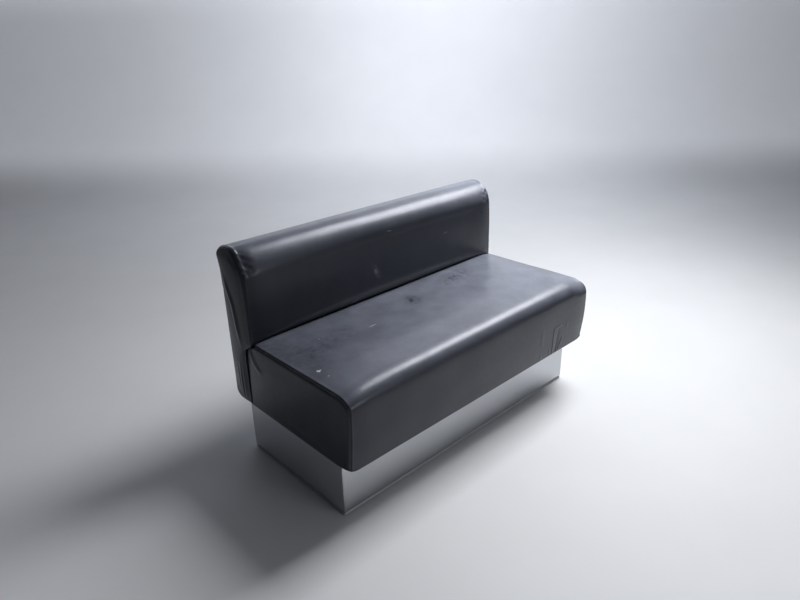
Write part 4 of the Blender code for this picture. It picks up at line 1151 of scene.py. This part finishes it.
def makeOutside(form):
    half, edgeWidth = outsideHigh.x + form["proud"], form["edge"]
    rear, base, top, foot = backForm["rear"], backForm["base"], backForm["seam"], backForm["foot"]
    track = [(rear, z, 1.0, 0.0) for z in np.linspace(top, base + foot, form["down"] - 16)]
    track += [(rear - foot + foot * math.cos(a), base + foot - foot * math.sin(a), math.cos(a), -math.sin(a))
              for a in arc(12, 0, 90)[1:]]
    track += [(rear - foot - step, base, 0.0, -1.0) for step in np.linspace(0, form["under"], 5)[1:]]
    mesh = backCushion.data
    wall = BVHTree.FromPolygons([tuple(v.co) for v in mesh.vertices],
                                [tuple(f.vertices) for f in mesh.polygons])
    columns = np.concatenate((np.linspace(-half, -half + edgeWidth, 12)[:-1],
                              np.linspace(-half + edgeWidth, half - edgeWidth, form["across"] - 24),
                              np.linspace(half - edgeWidth, half, 12)[1:]))
    run = np.concatenate(([0], np.cumsum([math.dist(a[:2], b[:2]) for a, b in zip(track, track[1:])])))
    points = []
    for k, (y, z, ny, nz) in enumerate(track):
        for x in columns:
            edge = min(half - abs(x), run[k], 1.0)
            inward = Vector((0, -ny, -nz))
            found = wall.ray_cast(Vector((x, y, z)) - inward * 0.03, inward)[0]
            place = found if found is not None else Vector((x, y, z))
            rounded = math.sqrt(max(0.0, 1 - (1 - min(1.0, edge / form["turnIn"])) ** 2))
            pull = form["tackPull"] * math.cos(2 * math.pi * run[k] / form["tackPitch"])
            pull *= math.exp(-(half - abs(x)) / form["tackFade"])
            points.append(place - inward * (form["lift"] + form["thick"] * rounded + pull * rounded))
    points = np.array([tuple(p) for p in points])
    wave = softWaves(points, form["unevenSize"], 10, 31) * form["unevenness"]
    points[:, 1] += np.clip(wave, -0.0004, 0.001) * smoothStep((points[:, 2] - base - foot) / 0.03)
    wide = len(columns)
    panel = makeObject("outside_back", points, gridFaces(len(track), wide))
    if panel.data.polygons[wide * 10 + 50].normal.y < 0:
        panel.data.flip_normals()
    thicken(panel, form["thick"])
    dress(panel, leatherette, "leatherette", "back_rear_cover")


makeOutside(outsideForm)
print("outside back ready")


# Dust cloth under the seat, drawn tight between the rails and sagging a little

dustForm = {"sag": 0.00072, "hem": 0.006, "hemFold": 0.0004, "ripple": 0.00025, "over": 0.0006,
            "thick": 0.0004, "turnedIn": 0.02, "across": 120, "deep": 56}


def makeDustCloth(form):
    low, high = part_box("seat_dust_cover")
    xs, ys = np.linspace(low.x, high.x, form["across"]), np.linspace(low.y, high.y, form["deep"])
    points = []
    for y in ys:
        for x in xs:
            u, v = (x - low.x) / (high.x - low.x), (y - low.y) / (high.y - low.y)
            edge = min(x - low.x, high.x - x, y - low.y, high.y - y)
            sag = form["sag"] * 16 * u * (1 - u) * v * (1 - v)
            folded = form["hemFold"] * math.exp(-((edge - form["hem"]) / 0.0015) ** 2)
            ripple = form["ripple"] * math.sin(edge * 900 + 7 * u + 5 * v) * math.exp(-edge / 0.02)
            points.append((x, y, high.z + form["over"] - sag - folded + ripple))
    cloth = makeObject("dust_cloth", points, gridFaces(form["deep"], form["across"]))
    if cloth.data.polygons[10].normal.z > 0:
        cloth.data.flip_normals()
    thicken(cloth, form["thick"])
    dress(cloth, finishes["black_cloth"], "black_cloth", "seat_dust_cover")


makeDustCloth(dustForm)
print("dust cloth ready")


# Plinth: the panels with their cut edges eased, and the seals under them

plinthForm = {"ease": 0.0009, "sides": ("front", "left", "right", "rear")}
stripForm = {
    "lip": 0.0008,           # upright foot of the lip, and its slope up to the crest
    "slopeIn": 0.0036,
    "crest": 0.0050,
    "crestIn": 0.0012,
    "floor": 0.0020,         # height of the groove's floor, and its share of the depth
    "groove": 0.6,
    "ease": 0.0003,
    "sides": ("front", "left", "right"),
}


def easedCopy(nodeName, pieceName, width, slotName):
    mesh = frame["nodes"][nodeName].data.copy()
    mesh.materials.clear()
    bm = bmesh.new()
    bm.from_mesh(mesh)
    bmesh.ops.remove_doubles(bm, verts=bm.verts, dist=1e-6)
    bmesh.ops.dissolve_limit(bm, angle_limit=math.radians(1), verts=bm.verts, edges=bm.edges)
    sharp = [e for e in bm.edges if len(e.link_faces) == 2 and e.calc_face_angle(0) > math.radians(25)]
    bmesh.ops.bevel(bm, geom=sharp, offset=width, segments=2, profile=0.5, affect="EDGES",
                    clamp_overlap=True)
    bmesh.ops.recalc_face_normals(bm, faces=bm.faces)
    bm.to_mesh(mesh)
    bm.free()
    mesh.shade_smooth()
    piece = bpy.data.objects.new(pieceName, mesh)
    scene.collection.objects.link(piece)
    firm = piece.modifiers.new("flatFaces", "WEIGHTED_NORMAL")
    firm.keep_sharp = True
    plainMesh(piece)
    dress(piece, finishes[slotName], slotName, nodeName)


for side in plinthForm["sides"]:
    easedCopy("plinth_" + side + "_panel", "plinth_" + side + "_board", plinthForm["ease"], "foiled_board")


def makeStrip(side, form):
    # a sealing profile flush with the board: a sloped lip, and over it a groove that shows as a dark line
    nodeName = "plinth_" + side + "_seal"
    low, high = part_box(nodeName)
    deep = high.y - low.y if side == "front" else high.x - low.x
    groove, crest = deep * form["groove"], low.z + form["crest"]
    profile = ((0.0, low.z), (0.0, low.z + form["lip"]), (form["slopeIn"], crest),
               (form["slopeIn"] + form["crestIn"], crest), (groove, low.z + form["floor"]), (groove, high.z),
               (deep, high.z), (deep, low.z))
    points = []
    for end in (0, 1):
        for inward, z in profile:
            if side == "front":
                points.append(((low.x + inward, high.x - inward)[end], low.y + inward, z))
            elif side == "left":
                points.append((low.x + inward, (low.y + inward, high.y)[end], z))
            else:
                points.append((high.x - inward, (low.y + inward, high.y)[end], z))
    count = len(profile)
    faces = [(k, (k + 1) % count, (k + 1) % count + count, k + count) for k in range(count)]
    faces += [tuple(range(count)), tuple(range(count, 2 * count))]
    strip = makeObject("plinth_" + side + "_strip", points, faces, smooth=False)
    edge = strip.modifiers.new("ease", "BEVEL")
    edge.width = form["ease"]
    edge.segments = 2
    edge.limit_method = "ANGLE"
    plainMesh(strip)
    dress(strip, finishes["grey_plastic"], "grey_plastic", nodeName)


for side in stripForm["sides"]:
    makeStrip(side, stripForm)
print("plinth ready")


# Stitches in the seams and staples under the seat, repeated along lines by one node tree

stitchForm = {"spacing": 0.0046, "radius": 0.00038, "length": 0.0036, "proud": 0.0002,
              "seatSpan": (1.05, 2.93), "backSpan": (1.05, 3.6)}   # places round the loop, from 0 to 4
stapleForm = {"spacing": 0.028, "radius": 0.0007, "length": 0.0105, "inFromEdge": 0.030, "fromCorner": 0.02,
              "sunk": 0.4}


def makeRepeatTree():
    tree = bpy.data.node_groups.new("repeatAlongLine", "GeometryNodeTree")
    tree.interface.new_socket("Line", in_out="INPUT", socket_type="NodeSocketGeometry")
    for name in ("Spacing", "Radius", "Length"):
        tree.interface.new_socket(name, in_out="INPUT", socket_type="NodeSocketFloat")
    tree.interface.new_socket("Material", in_out="INPUT", socket_type="NodeSocketMaterial")
    tree.interface.new_socket("Geometry", in_out="OUTPUT", socket_type="NodeSocketGeometry")
    given = addNode(tree, "NodeGroupInput").outputs
    curve = addNode(tree, "GeometryNodeMeshToCurve", {"Mesh": given["Line"]})
    spots = addNode(tree, "GeometryNodeCurveToPoints", {
        "Curve": curve, "Length": given["Spacing"]
    }, mode="LENGTH")
    item = addNode(tree, "GeometryNodeMeshCylinder", {
        "Vertices": 8, "Side Segments": 3, "Radius": given["Radius"], "Depth": given["Length"]
    })
    laid = addNode(tree, "GeometryNodeInstanceOnPoints", {
        "Points": spots, "Instance": item, "Rotation": spots.outputs["Rotation"]
    })
    real = addNode(tree, "GeometryNodeRealizeInstances", {"Geometry": laid})
    finished = addNode(tree, "GeometryNodeSetMaterial", {"Geometry": real, "Material": given["Material"]})
    addNode(tree, "NodeGroupOutput", {"Geometry": finished})
    return tree


repeatTree = makeRepeatTree()


def repeatAlong(name, lines, form, material):
    points, edges = [], []
    for line in lines:
        start = len(points)
        points += [tuple(p) for p in line]
        edges += [(start + k, start + k + 1) for k in range(len(line) - 1)]
    mesh = bpy.data.meshes.new(name)
    mesh.from_pydata(points, edges, [])
    piece = bpy.data.objects.new(name, mesh)
    scene.collection.objects.link(piece)
    modifier = piece.modifiers.new("repeat", "NODES")
    modifier.node_group = repeatTree
    sockets = repeatTree.interface.items_tree
    named = {item.name: item.identifier for item in sockets if item.in_out == "INPUT"}
    for size in ("Spacing", "Radius", "Length"):
        modifier[named[size]] = form[size.lower()]
    modifier[named["Material"]] = material
    plainMesh(piece)
    piece.data.shade_smooth()
    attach(piece, "root")


def seamLines(cushion, lattice, seam, first, last):
    # the groove's own points on each end, from one place of the loop to another
    points, normals = readVectors(cushion.data, "co"), readVectors(cushion.data, "normal")
    loopCount = lattice["grid"].shape[1]
    angles = np.array([row[3] for row in lattice["rows"]])
    places = loopPlaces(lattice)
    chosen = np.where((places > first) & (places < last))[0]
    lines = []
    for sign in (-1, 1):
        rows = np.where(np.array([row[0] for row in lattice["rows"]]) * sign > 0)[0]
        line = []
        for i in chosen:
            j = rows[np.argmin(np.abs(angles[rows] - seam["angle"][i]))]
            number = j * loopCount + i
            line.append(points[number] + normals[number] * stitchForm["proud"])
        lines.append(line)
    return lines


stitchLines = seamLines(seatCushion, seatLattice, seatSeamPlaces, *stitchForm["seatSpan"])
stitchLines += seamLines(backCushion, backLattice, backSeamPlaces, *stitchForm["backSpan"])
repeatAlong("seam_stitches", stitchLines, stitchForm, blackThread)


def stapleLines(form):
    z = seatForm["base"] - form["radius"] * form["sunk"]
    half = seatForm["half"] - form["inFromEdge"]
    front = seatForm["front"] + seatForm["lean"] + form["inFromEdge"]
    corner = form["fromCorner"]
    rear = seatForm["rear"] - corner
    lines = [[(x, front, z) for x in np.linspace(-half + corner, half - corner, 60)]]
    for sign in (-1, 1):
        lines.append([(sign * half, y, z) for y in np.linspace(front + corner, rear, 40)])
    return lines


repeatAlong("hem_staples", stapleLines(stapleForm), stapleForm, finishes["zinc_steel"])
print("stitches and staples ready")


# Stage and light

def seenRays(tree):
    # 1 for rays that show a thing to the eye: straight on, in a reflection or through glass
    path = addNode(tree, "ShaderNodeLightPath").outputs
    direct = addNode(tree, "ShaderNodeMath", {
        0: path["Is Camera Ray"], 1: path["Is Glossy Ray"]
    }, operation="MAXIMUM")
    return addNode(tree, "ShaderNodeMath", {0: direct, 1: path["Is Transmission Ray"]}, operation="MAXIMUM")


stageForm = {
    "behind": 5.0,           # floor on the side of the camera, and beyond the bench up to the bend
    "ahead": 3.0,
    "bend": 1.5,
    "wall": 5.0,
    "side": 7.0,
    "paints": ("#d9dbdf", "#e2e4e8"),
    "patch": 0.35,
    "seenColor": "#e9edf5",  # painted glow, seen by the eye and in reflections only: pale from a low height, and more above
    "paleFrom": 0.3,
    "pale": 0.21,
    "glowFrom": 1.3,
    "glowTo": 2.6,
    "glow": 0.9,
}


def makeStage(form):
    azimuth = math.radians(cameraView["azimuth"])
    ahead = Vector((-math.sin(azimuth), math.cos(azimuth), 0))
    aside = Vector((ahead.y, -ahead.x, 0))
    profile = [(-form["behind"], 0.0), (form["ahead"], 0.0)]
    profile += [(form["ahead"] + form["bend"] * math.sin(a), form["bend"] * (1 - math.cos(a)))
                for a in arc(24, 0, 90)[1:]]
    profile.append((form["ahead"] + form["bend"], form["wall"]))
    points, faces = [], []
    for run, z in profile:
        for side in (-1, 1):
            points.append(tuple(ahead * run + aside * side * form["side"] + Vector((0, 0, z))))
    for k in range(len(profile) - 1):
        faces.append((2 * k, 2 * k + 1, 2 * k + 3, 2 * k + 2))
    floor = makeObject("studio_floor", points, faces)
    material, tree, shader, coords = newMaterial("paleFloorPaint")
    patches = addNode(tree, "ShaderNodeTexNoise", {
        "Vector": coords, "Scale": 1 / form["patch"], "Detail": 6.0
    })
    tone = addNode(tree, "ShaderNodeMix", {
        "Factor": patches, "A": hexColor(form["paints"][0]), "B": hexColor(form["paints"][1])
    }, data_type="RGBA")
    # the wall is seen pale all over without more light on the bench, and the floor keeps its shadow; the
    # glow higher up shows in the leatherette as a painted highlight
    height = addNode(tree, "ShaderNodeSeparateXYZ", {0: coords})
    pale = addNode(tree, "ShaderNodeMapRange", {
        "Value": height.outputs["Z"], "From Max": form["paleFrom"], "To Max": form["pale"]
    }, interpolation_type="SMOOTHSTEP")
    # painted highlight: this glow lights nothing and shows only straight on and in reflections
    glow = addNode(tree, "ShaderNodeMapRange", {
        "Value": height.outputs["Z"], "From Min": form["glowFrom"], "From Max": form["glowTo"],
        "To Max": form["glow"]
    }, interpolation_type="SMOOTHSTEP")
    both = addNode(tree, "ShaderNodeMath", {0: pale, 1: glow}, operation="ADD")
    seen = seenRays(tree)
    shown = addNode(tree, "ShaderNodeMath", {0: both, 1: seen}, operation="MULTIPLY")
    setInputs(tree, shader, {"Base Color": tone, "Roughness": 0.6, "Emission Strength": shown,
                             "Emission Color": hexColor(form["seenColor"])})
    floor.data.materials.append(material)


lightForms = (
    {"name": "sideSoftbox", "place": (1.40, -0.20, 2.25), "aim": (0.0, -0.05, 0.45), "size": (0.85, 1.5),
     "power": 73, "color": "#ffffff"},
    {"name": "wallWashRight", "place": (2.6, 0.9, 2.4), "aim": (4.2, 2.0, 1.2), "size": (1.2, 1.2),
     "power": 15, "color": "#f6f9ff"},
    {"name": "wallWashRear", "place": (1.9, 1.9, 2.6), "aim": (3.2, 3.3, 1.4), "size": (1.2, 1.2),
     "power": 40, "color": "#f6f9ff"},
    {"name": "frontFill", "place": (0.2, -2.5, 0.9), "aim": (0.0, -0.3, 0.2), "size": (1.0, 0.6),
     "power": 6, "color": "#ffffff"},
)
worldLight = {"color": "#e9edf5", "toward": (0.85, 0.25, 0.45), "dark": 0.0, "bright": 0.22, "seen": 1.4,
              "least": 0.05}


def makeLights():
    for form in lightForms:
        data = bpy.data.lights.new(form["name"], "AREA")
        data.shape = "RECTANGLE"
        data.size, data.size_y = form["size"]
        data.energy = form["power"]
        data.color = hexColor(form["color"])[:3]
        lamp = bpy.data.objects.new(form["name"], data)
        lamp.location = form["place"]
        away = Vector(form["place"]) - Vector(form["aim"])
        lamp.rotation_euler = away.to_track_quat("Z", "Y").to_euler()
        scene.collection.objects.link(lamp)
    # a pale room, bright at the right and above, and dim at the left
    world = bpy.data.worlds.new("paleStudio")
    scene.world = world
    world.use_nodes = True
    tree = world.node_tree
    direction = addNode(tree, "ShaderNodeTexCoord").outputs["Generated"]
    turned = addNode(tree, "ShaderNodeVectorMath", {
        0: direction, 1: worldLight["toward"]
    }, operation="DOT_PRODUCT")
    level = addNode(tree, "ShaderNodeMapRange", {
        "Value": turned, "From Min": -0.5, "From Max": 0.9, "To Min": worldLight["dark"],
        "To Max": worldLight["bright"]
    }, interpolation_type="SMOOTHSTEP")
    seen = seenRays(tree)
    gain = addNode(tree, "ShaderNodeMapRange", {"Value": seen, "To Min": 1.0, "To Max": worldLight["seen"]})
    shown = addNode(tree, "ShaderNodeMath", {0: level, 1: gain}, operation="MULTIPLY")
    least = addNode(tree, "ShaderNodeMath", {0: seen, 1: worldLight["least"]}, operation="MULTIPLY")
    strength = addNode(tree, "ShaderNodeMath", {0: shown, 1: least}, operation="MAXIMUM")
    setInputs(tree, tree.nodes["Background"], {"Color": hexColor(worldLight["color"]), "Strength": strength})


makeStage(stageForm)
makeLights()
print("stage and light ready")
